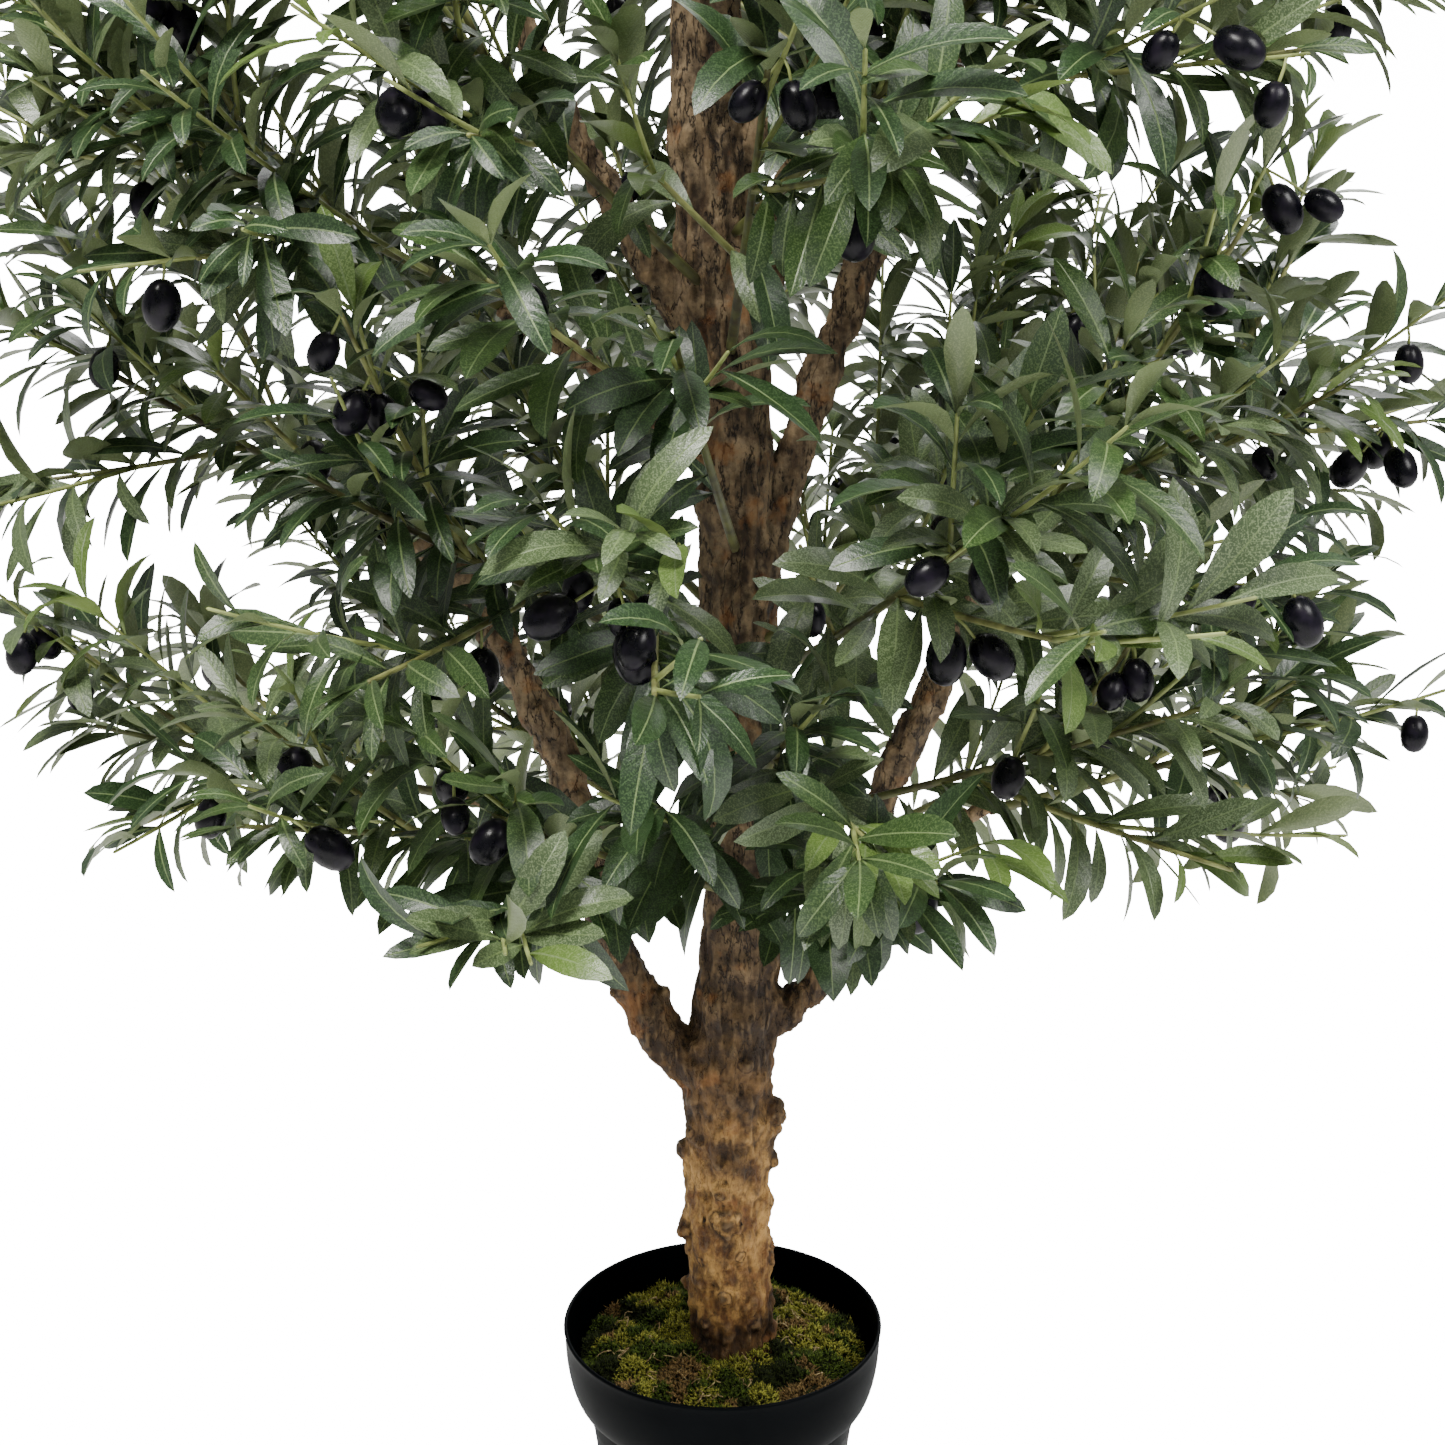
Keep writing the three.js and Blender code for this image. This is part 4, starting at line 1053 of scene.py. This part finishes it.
def spray_lines(index, mass):
    """The lines of a mass: its stem, its shoots by the frame's own rule, and finer twigs on both."""
    _, _, azimuth, rise, reach, shoots, fullness = mass
    draw = seeded(101 + index * 7919)
    stem = grow_inside(index, mass_roots[index], azimuth, rise, STEM_LIFT, reach, mix(*SHOOT_REACH, draw()))
    lines = [spray_line("stem", stem, azimuth, rise, STEM_RADIUS, STEM_BARE)]
    frames = frames_of(stem)
    for i in range(shoots):
        t = i / (shoots - 1)
        start = along(frames, mix(*STEM_SHOOTS, t))["point"]
        spread = mix(*SHOOT_SPREAD, t)
        turn = math.radians(GOLDEN * i + 50 * draw())
        way = azimuth + spread * math.cos(turn)
        slope = rise + spread * 0.8 * math.sin(turn)
        length = reach * mix(0.8, 0.5, t) * (0.85 + 0.3 * draw())
        points = grow_inside(index, start, way, slope, SHOOT_LIFT, length, mix(*SHOOT_REACH, draw()))
        if length_of(points) > SHOOT_LEAST:
            lines.append(spray_line("shoot", points, way, slope, SHOOT_RADIUS, SHOOT_BARE))
    finer = seeded(977 + index * 6007)
    for line in list(lines):
        leafy = SHOOT_TWIGS if line["kind"] == "shoot" else FULL_STEM_TWIGS if fullness > 1 else STEM_TWIGS
        count = nearest(length_of(line["points"]) * (leafy[1] - leafy[0]) / TWIG_EVERY * fullness)
        if is_large(index):
            leafy, count = LARGE_TWIGS, LARGE_COUNT
        frames = frames_of(line["points"])
        for k in range(count):
            share = mix(*leafy, (k + 0.5) / count)
            spread = mix(*TWIG_SPREAD, share) * (0.8 + 0.4 * finer())
            turn = math.radians(180 * k + 90 * finer() - 45)
            way = line["azimuth"] + spread * math.cos(turn)
            slope = line["rise"] + spread * 0.7 * math.sin(turn) + TWIG_RISE
            length = mix(*TWIG_LENGTH, share) * (0.75 + 0.5 * finer()) * max(1, fullness * TWIG_FULLER)
            start = along(frames, share)["point"]
            points = grow_inside(index, start, way, slope, TWIG_LIFT, length, TWIG_REACH, 0)
            if len(points) > 2 and length_of(points) > TWIG_LEAST and not in_gap(points).any():
                lines.append(spray_line("twig", points, way, slope, TWIG_RADIUS, TWIG_BARE))
    return lines


sprays = {name: spray_lines(index, mass) for index, (name, mass) in enumerate(MASSES.items())}
TWIG_SIDES = 6


def twig_mesh(lines):
    """Closed bars with a rounded tip along all the lines."""
    places, faces = [], []
    around = np.arange(TWIG_SIDES)
    beside = (around + 1) % TWIG_SIDES
    none = np.full(TWIG_SIDES, -1)
    turns = around * 2 * math.pi / TWIG_SIDES
    cosines, sines = np.cos(turns)[None, :, None], -np.sin(turns)[None, :, None]
    first = 0
    for line in lines:
        frames = frames_of(line["points"])
        radii = np.linspace(*line["radius"], len(line["points"]))
        out = frames["side"][:, None] * cosines + frames["over"][:, None] * sines
        rings = frames["point"][:, None] + radii[:, None, None] * out
        tip = frames["point"][-1] + frames["ahead"][-1] * radii[-1] * 1.5
        places.append(np.concatenate((rings.reshape(-1, 3), frames["point"][:1], tip[None])))
        ring_starts = first + np.arange(len(radii))[:, None] * TWIG_SIDES
        low, low_next = ring_starts[:-1] + around, ring_starts[:-1] + beside
        faces.append(np.stack((low, low + TWIG_SIDES, low_next + TWIG_SIDES, low_next), -1).reshape(-1, 4))
        last = ring_starts[-1, 0]
        base = np.full(TWIG_SIDES, last + TWIG_SIDES)
        faces.append(np.stack((first + around, first + beside, base, none), -1))
        faces.append(np.stack((last + beside, last + around, base + 1, none), -1))
        first += len(places[-1])
    return np.concatenate(places), np.concatenate(faces)


def twig_finish(name, dark, light):
    """Smooth plastic cover of a twig, blotched from yellow-green to brown."""
    material, tree, shader = node_material(name)
    place = object_place(tree)
    blotch = noise_node(tree, place, 60, 3)
    fine = noise_node(tree, place, 900, 2)
    dress(tree, shader, colour_mix(tree, range_node(tree, blotch, 0.35, 0.65, 0.0, 1.0), dark, light), 0.5,
          bump_node(tree, fine, 0.3, 0.0003))
    return material


for kind, dark, light in (
        ("stem", (0.05, 0.045, 0.015), (0.13, 0.145, 0.04)),
        ("shoot", (0.1, 0.1, 0.03), (0.3, 0.32, 0.11)),
        ("twig", (0.15, 0.18, 0.05), (0.36, 0.42, 0.14))):
    places, faces = twig_mesh([line for lines in sprays.values() for line in lines if line["kind"] == kind])
    wires = joined_mesh(f"{kind}s_of_the_crown", places, faces, np.zeros(len(faces)),
                        [twig_finish(f"{kind}_green", dark, light)])
    bpy.ops.object.shade_smooth()
    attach(wires, "root")

# Olives. Hollow moulded plastic fruit, nearly black with a purple sheen, each on a thin green stalk that
# hangs from a shoot, alone or up to four together.
OLIVE_SHARE = 0.42  # of the lines, more of the shoots and fewer of the twigs
OLIVE_KINDS = {"shoot": 1.2, "twig": 0.6}
OLIVE_COUNTS, COUNT_SHARES = (1, 2, 3), (0.6, 0.28, 0.12)
OLIVE_LENGTH = 0.028
OLIVE_WIDTH = 0.0205
OLIVE_SIZES = (0.74, 1.08)
OLIVE_RINGS, OLIVE_SIDES = 9, 12
STALK_LENGTH = (0.008, 0.014)
STALK_RADIUS = (0.0008, 0.0009)
FRUIT_REACH = 0.98


def olive_template():
    """A fruit of length 1 along Z, a little fuller above its middle, from pole to pole."""
    corners = [(0, 0, 0.5)]
    for ring in range(1, OLIVE_RINGS):
        angle = math.pi * ring / OLIVE_RINGS
        for k in range(OLIVE_SIDES):
            turn = 2 * math.pi * k / OLIVE_SIDES
            wide = 0.5 * math.sin(angle) ** 0.92
            corners.append((wide * math.cos(turn), wide * math.sin(turn), 0.5 * math.cos(angle)))
    corners.append((0, 0, -0.5))
    faces = []
    for k in range(OLIVE_SIDES):
        beside = (k + 1) % OLIVE_SIDES
        faces.append((0, 1 + k, 1 + beside, -1))
        for ring in range(OLIVE_RINGS - 2):
            low, high = 1 + ring * OLIVE_SIDES, 1 + (ring + 1) * OLIVE_SIDES
            faces.append((low + k, high + k, high + beside, low + beside))
        last = 1 + (OLIVE_RINGS - 2) * OLIVE_SIDES
        faces.append((last + k, len(corners) - 1, last + beside, -1))
    return np.array(corners), np.array(faces)


def black_olive():
    material, tree, shader = node_material("black_olive")
    place = object_place(tree)
    bloom = noise_node(tree, place, 130, 4)
    fine = noise_node(tree, place, 800, 2)
    colour = colour_mix(tree, range_node(tree, bloom, 0.45, 0.75, 0.0, 1.0),
                        (0.0022, 0.0022, 0.0045), (0.012, 0.008, 0.018))
    dress(tree, shader, colour, range_node(tree, bloom, 0.35, 0.65, 0.24, 0.36),
          bump_node(tree, fine, 0.12, 0.0003), 0.22)
    return material


olive_dice = np.random.default_rng(88)
olive_rows, stalk_lines = [], []


def hang_olives(spot, count):
    """Hangs olives under a place on a shoot, each on its own stalk."""
    for number in range(count):
        spread = olive_dice.normal(0, 0.35, 3) if number == 0 else olive_dice.normal(0, 0.7, 3)
        down = unit(np.array((0, 0, -1.0)) + spread * (1, 1, 0.3))
        stalk = olive_dice.uniform(*STALK_LENGTH) + 0.006 * number
        size = olive_dice.uniform(*OLIVE_SIZES)
        middle = spot + down * (stalk + OLIVE_LENGTH * size / 2)
        if room_to_limbs(middle[None])[0] < OLIVE_WIDTH / 2:
            continue
        if not in_crown(middle[None], FRUIT_REACH, True)[0]:
            continue
        if any(np.linalg.norm(middle - other[0]) < OLIVE_WIDTH for other in olive_rows[-6:]):
            continue
        olive_rows.append((middle, down, size))
        end = spot + down * (stalk + 0.002)
        bow = mix(spot, end, 0.5) + (0.0005, 0, 0.0005)
        stalk_lines.append({"points": np.array((spot, bow, end)), "radius": STALK_RADIUS})


for lines in sprays.values():
    for line in lines:
        if line["kind"] == "stem" or olive_dice.uniform() > OLIVE_SHARE * OLIVE_KINDS[line["kind"]]:
            continue
        spot = along(frames_of(line["points"]), olive_dice.uniform(0.35, 0.95))["point"]
        hang_olives(spot, olive_dice.choice(OLIVE_COUNTS, p=COUNT_SHARES))
twig_spots = np.concatenate([line["points"][1:] for lines in sprays.values() for line in lines])
shown_starts = []
for place, count in OLIVE_GROUPS:
    first = len(olive_rows)
    hang_olives(twig_spots[np.argmin(np.linalg.norm(twig_spots - place, axis=1))], count)
    shown_starts += [row[0] for row in olive_rows[first:]]
shown_lines = towards_eye(np.array(shown_starts))
fruit = np.array([row[0] for row in olive_rows])
olive_corners, olive_faces = olive_template()
olive_places = []
for middle, down, size in olive_rows:
    side = unit(np.cross(down, (0.3, 1, 0.2)))
    over = np.cross(down, side)
    stretch = olive_corners * (OLIVE_WIDTH * size, OLIVE_WIDTH * size, OLIVE_LENGTH * size)
    olive_places.append(middle + stretch[:, :1] * side + stretch[:, 1:2] * over - stretch[:, 2:] * down)
faces = repeated(olive_faces, len(olive_rows), len(olive_corners))
olives = joined_mesh("olives", np.concatenate(olive_places), faces, np.zeros(len(faces)), [black_olive()])
bpy.ops.object.shade_smooth()
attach(olives, "root")
places, faces = twig_mesh(stalk_lines)
stalks = joined_mesh("olive_stalks", places, faces, np.zeros(len(faces)), [bpy.data.materials["twig_green"]])
bpy.ops.object.shade_smooth()
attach(stalks, "root")

# Leaves. Each is die-cut from printed polyester cloth, pressed into a shallow fold along a pale raised
# midrib, dark green above and pale grey-green below, and pushed on its twig in crossed, arching pairs.
LEAF_STATIONS = ((0.06, 0.13), (0.22, 0.50), (0.40, 0.85), (0.58, 1.0), (0.76, 0.88), (0.91, 0.50))
LEAF_LENGTH = 0.059
LEAF_WIDTH = 0.0143
LEAF_EVERY = 0.0160
SIDE_VEINS = 11  # along each half of a leaf
LARGE_LEAF = (1.08, 1.20, 1.08)  # how much longer, wider and further apart they are on the large sprays
LEAF_THICK = 0.0005
LEAF_BEND = (0.85, 0.4)  # how far a leaf bends along its length on average, and how much that differs
LEAF_TWIST, LEAF_SICKLE = 0.32, 0.07  # how much these differ from none
LEAF_FOLD = (0.05, 0.4)
LEAF_SIZES, LEAF_WIDTHS = (0.82, 1.16), (0.82, 1.15)
LEAF_LEAN = (50, 26)  # how far a leaf leans from its twig, at the twig's foot and at its tip, in degrees
LEAF_SINKS = np.array((0, 0, 0.05))
MIDRIB_HALF = 0.00055
LEAF_REACH = 1.0
LEAF_CLEAR = 0.001
SMALLER_LEAF = 0.70  # the size of a leaf where a whole one has no room
TONES_MIDDLE = np.array((0.62, 0.26, 0.04, 0.08))  # the shares of deep, green, grey and fresh sprays; more of them deep in the middle, as painted shade inside the crown as well as darker leaves
TONES_SIDE = np.array((0.34, 0.30, 0.21, 0.15))  # the same, at the crown's sides
SIDE_WAY = 0.36  # how far out they apply in full
SMOOTH_LEAF = math.radians(70)


def leaf_template():
    """The corners of a leaf as station, side of the middle and layer, and its triangles with their finish: 0
    the upper side, 1 the midrib, 2 the underside. Both sides are split alike, so neither shows through."""
    corners = [(0, 0, 0)]
    for i in range(len(LEAF_STATIONS)):
        corners += [(i, side, layer) for side, layer in ((-2, 0), (-1, 1), (1, 1), (2, 0), (0, -1))]
    corners.append((-1, 0, 0))
    tip = len(corners) - 1
    faces, kinds = [], []
    strips = ((0, 1, 0, True), (1, 2, 1, True), (2, 3, 0, False), (3, 4, 2, True), (4, 0, 2, False))
    for i in range(len(LEAF_STATIONS) + 1):
        near = [1 + (i - 1) * 5 + k for k in range(5)]
        far = [1 + i * 5 + k for k in range(5)]
        for a, b, kind, from_a in strips:
            if i == 0:
                new = [(0, far[a], far[b])]
            elif i == len(LEAF_STATIONS):
                new = [(near[a], tip, near[b])]
            elif from_a:
                new = [(near[a], far[a], far[b]), (near[a], far[b], near[b])]
            else:
                new = [(near[a], far[a], near[b]), (far[a], far[b], near[b])]
            faces += new
            kinds += [kind] * len(new)
    return corners, np.array(faces), np.array(kinds)


leaf_corners, leaf_faces, leaf_kinds = leaf_template()
leaf_marks = np.array([
    (0 if (station, across) == (0, 0) else 1 if station < 0 else LEAF_STATIONS[station][0], 0.5 + across / 4)
    for station, across, _ in leaf_corners])


def leaf_places(root, way, up, length, width, bend, fold, twist, sickle):
    """The corners of many leaves. Each starts at its root along its way, bends away from its upper side, has
    its edges raised by its fold, turns about its own line by its twist and curves sideways by its sickle."""
    side = unit(np.cross(up, way))
    over = np.cross(way, side)
    bend = np.where(np.abs(bend) < 0.02, 0.02, bend)
    found = []
    for station, across, layer in leaf_corners:
        first, last = (station == 0 and across == 0), station == -1
        share, wide = (0, 0) if first else (1, 0) if last else LEAF_STATIONS[station]
        turned = bend * share
        centre = root + length[:, None] * (
            way * (np.sin(turned) / bend)[:, None] - over * ((1 - np.cos(turned)) / bend)[:, None]
            + side * (sickle * share ** 2)[:, None])
        normal = way * np.sin(turned)[:, None] + over * np.cos(turned)[:, None]
        roll = (twist * share)[:, None]
        flat = side * np.cos(roll) + normal * np.sin(roll)
        proud = normal * np.cos(roll) - side * np.sin(roll)
        half = width * wide / 2
        if abs(across) == 1:
            reach = np.minimum(half * 0.4, MIDRIB_HALF * (1.15 - 0.6 * share)) * across
        else:
            reach = half * np.sign(across)
        rise = fold * np.abs(reach) + layer * LEAF_THICK * (0.9 if layer > 0 else 0.5)
        found.append(centre + flat * reach[:, None] + proud * np.broadcast_to(rise, length.shape)[:, None])
    return np.stack(found, 1)


def leaves_of(lines, dice, large):
    """Roots, directions and sizes of the leaves along the lines, in crossed pairs, and each spray's tone."""
    rows = []
    longer, wider, apart = LARGE_LEAF if large else (1, 1, 1)
    for line in lines:
        frames = frames_of(line["points"])
        long = length_of(line["points"])
        pairs = max(1, nearest(long * (1 - line["bare"]) / (LEAF_EVERY * apart)))
        # Sprays nearer the crown's middle are more often deep green: their own darker tone, and painted shade
        # inside the crown.
        aside = min(1, abs(line["points"][-1][0]) / SIDE_WAY)
        tone = dice.choice(4, p=mix(TONES_MIDDLE, TONES_SIDE, aside))
        start_angle = dice.uniform(0, math.pi)
        for i in range(pairs + 1):
            t = mix(line["bare"], 0.985, i / pairs)
            spot = along(frames, t)
            angle = start_angle + i * math.pi / 2 + dice.normal(0, 0.15)
            out = spot["side"] * math.cos(angle) + spot["over"] * math.sin(angle)
            tipward = i / pairs
            fresh = line["kind"] != "stem" and tipward > 0.7 and tone == 3
            radius = mix(*line["radius"], t)
            for half in (1, -1, 0) if i == pairs else (1, -1):
                lean = mix(*LEAF_LEAN, tipward ** 1.5) + dice.normal(0, 8) if half else dice.uniform(0, 10)
                lean = math.radians(lean)
                direction = spot["ahead"] * math.cos(lean) + out * half * math.sin(lean) - LEAF_SINKS
                plump = 0.82 + 0.3 * math.sin(math.pi * min(1, tipward * 0.8 + 0.15))
                size = plump * dice.uniform(*LEAF_SIZES)
                up = spot["ahead"] + np.array((0, 0, 1.0)) + dice.normal(0, 0.25, 3)
                width = LEAF_WIDTH * size * dice.uniform(*LEAF_WIDTHS) * wider
                bend, fold = dice.normal(*LEAF_BEND), dice.uniform(*LEAF_FOLD)
                twist, sickle = dice.normal(0, LEAF_TWIST), dice.normal(0, LEAF_SICKLE)
                rows.append((*(spot["point"] + out * half * radius * 0.5), *unit(direction), *up,
                             LEAF_LENGTH * size * longer, width, bend, fold, twist, sickle,
                             3 if fresh else min(tone, 2)))
    return np.array(rows)


def have_room(rows, large):
    """Whether leaves stay in the crown's outline, clear of the limbs and the fruit, and out of the gaps."""
    good = np.ones(len(rows), bool)
    for share in (0.2, 0.45, 0.7, 1.0):
        spots = rows[:, 0:3] + rows[:, 3:6] * rows[:, 9:10] * share
        good &= np.linalg.norm(spots[:, None] - fruit, axis=2).min(axis=1) > OLIVE_WIDTH * 0.55
        good &= distances(spots, *shown_lines).min(axis=1) > SHOWN
        if share in (0.45, 1.0):
            good &= in_crown(spots, LEAF_REACH, large) & ~in_gap(spots)
            good &= room_to_limbs(spots) > LEAF_CLEAR
    return good


def leaves_that_fit(rows, large):
    """The leaves that have room, and smaller ones in place of those that only then have it."""
    whole = have_room(rows, large)
    smaller = rows[~whole]
    smaller[:, 9:11] *= SMALLER_LEAF
    return np.concatenate((rows[whole], smaller[have_room(smaller, large)]))


def leaf_cloth_group():
    """Printed leaf cloth: side veins, pale flecks and a cloudy tone over a plain colour, and their height."""
    group = bpy.data.node_groups.new("leaf_cloth", "ShaderNodeTree")
    for name, kind, way in (
            ("Colour", "NodeSocketColor", "INPUT"), ("Flecks", "NodeSocketColor", "INPUT"),
            ("Fleck share", "NodeSocketFloat", "INPUT"), ("Colour", "NodeSocketColor", "OUTPUT"),
            ("Roughness", "NodeSocketFloat", "OUTPUT"), ("Weave", "NodeSocketFloat", "OUTPUT")):
        group.interface.new_socket(name, in_out=way, socket_type=kind)
    given, result = group.nodes.new("NodeGroupInput"), group.nodes.new("NodeGroupOutput")
    flecks = given.outputs["Flecks"]
    place = object_place(group)
    cloudy = noise_node(group, place, 28, 2)
    fleck = noise_node(group, place, 1100, 2)
    marks = group.nodes.new("ShaderNodeUVMap")
    marks.uv_map = "leaf"
    split = group.nodes.new("ShaderNodeSeparateXYZ")
    group.links.new(marks.outputs["UV"], split.inputs["Vector"])
    outward = math_node(group, "ABSOLUTE", math_node(group, "SUBTRACT", split.outputs["Y"], 0.5))
    inward = math_node(group, "MULTIPLY", split.outputs["X"], SIDE_VEINS)
    slanted = math_node(group, "MULTIPLY_ADD", outward, -SIDE_VEINS * 0.5, inward)
    ridge = math_node(group, "PINGPONG", slanted, 0.5)
    toned = colour_mix(group, range_node(group, cloudy, 0.35, 0.65, 0.0, 0.4), given.outputs["Colour"],
                       (0.007, 0.021, 0.006))
    veined = colour_mix(group, range_node(group, ridge, 0.05, 0.0, 0.0, 0.45), toned, flecks)
    speckled = math_node(group, "MULTIPLY", range_node(group, fleck, 0.49, 0.60, 0.0, 1.0),
                         given.outputs["Fleck share"])
    group.links.new(colour_mix(group, speckled, veined, flecks), result.inputs["Colour"])
    group.links.new(range_node(group, cloudy, 0.3, 0.7, 0.29, 0.44), result.inputs["Roughness"])
    group.links.new(math_node(group, "MULTIPLY_ADD", ridge, 0.9, fleck), result.inputs["Weave"])
    return group


leaf_cloth = leaf_cloth_group()


def leaf_finish(name, colour, flecks, share):
    material, tree, shader = node_material(name)
    cloth = tree.nodes.new("ShaderNodeGroup")
    cloth.node_tree = leaf_cloth
    for socket, value in zip(cloth.inputs, (colour, flecks, share)):
        give(tree, socket, value)
    dress(tree, shader, cloth.outputs["Colour"], cloth.outputs["Roughness"],
          bump_node(tree, cloth.outputs["Weave"], 0.45, 0.0004), 0.6)
    return material


leaf_finishes = [
    leaf_finish("leaf_deep_green", (0.010, 0.030, 0.007), (0.082, 0.145, 0.056), 0.5),
    leaf_finish("leaf_green", (0.021, 0.050, 0.010), (0.125, 0.19, 0.068), 0.5),
    leaf_finish("leaf_grey_green", (0.064, 0.100, 0.038), (0.24, 0.31, 0.155), 0.5),
    leaf_finish("leaf_fresh_green", (0.085, 0.15, 0.026), (0.23, 0.31, 0.11), 0.45),
    leaf_finish("midrib", (0.15, 0.22, 0.08), (0.3, 0.37, 0.17), 0.3),
    leaf_finish("leaf_underside", (0.195, 0.25, 0.11), (0.34, 0.41, 0.20), 0.4),
    leaf_finish("leaf_fresh_underside", (0.21, 0.30, 0.075), (0.34, 0.42, 0.17), 0.3),
]
MIDRIB, UNDERSIDE, FRESH_UNDERSIDE = 4, 5, 6

leaf_dice = np.random.default_rng(2024)


def leaves_on(name):
    large = is_large(list(MASSES).index(name))
    return leaves_that_fit(leaves_of(sprays[name], leaf_dice, large), large)


def group_of(name):
    """The joined piece that a mass's leaves belong to."""
    if name.startswith(("top", "crown", "high_back")):
        return "top"
    return name.split("_")[0] if name.startswith(("high", "low")) else "middle"


for group in ("low", "middle", "high", "top"):
    names = [name for name in MASSES if group_of(name) == group]
    rows = np.concatenate([leaves_on(name) for name in names])
    tones = rows[:, 15].astype(int)
    places = leaf_places(rows[:, 0:3], rows[:, 3:6], unit(rows[:, 6:9]), *rows[:, 9:15].T)
    faces = repeated(leaf_faces, len(rows), len(leaf_corners))
    kinds = np.tile(leaf_kinds, (len(rows), 1))
    under = np.where(tones == 3, FRESH_UNDERSIDE, UNDERSIDE)[:, None]
    finish = np.where(kinds == 0, tones[:, None], np.where(kinds == 1, MIDRIB, under))
    piece = joined_mesh(f"leaves_{group}", places.reshape(-1, 3), faces, finish.ravel(), leaf_finishes)
    marks = np.tile(leaf_marks, (len(rows), 1))[faces.ravel()]
    piece.data.uv_layers.new(name="leaf").data.foreach_set("uv", marks.astype(np.float32).ravel())
    bpy.ops.object.shade_smooth_by_angle(angle=SMOOTH_LEAF)
    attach(piece, "root")
    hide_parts(*names)
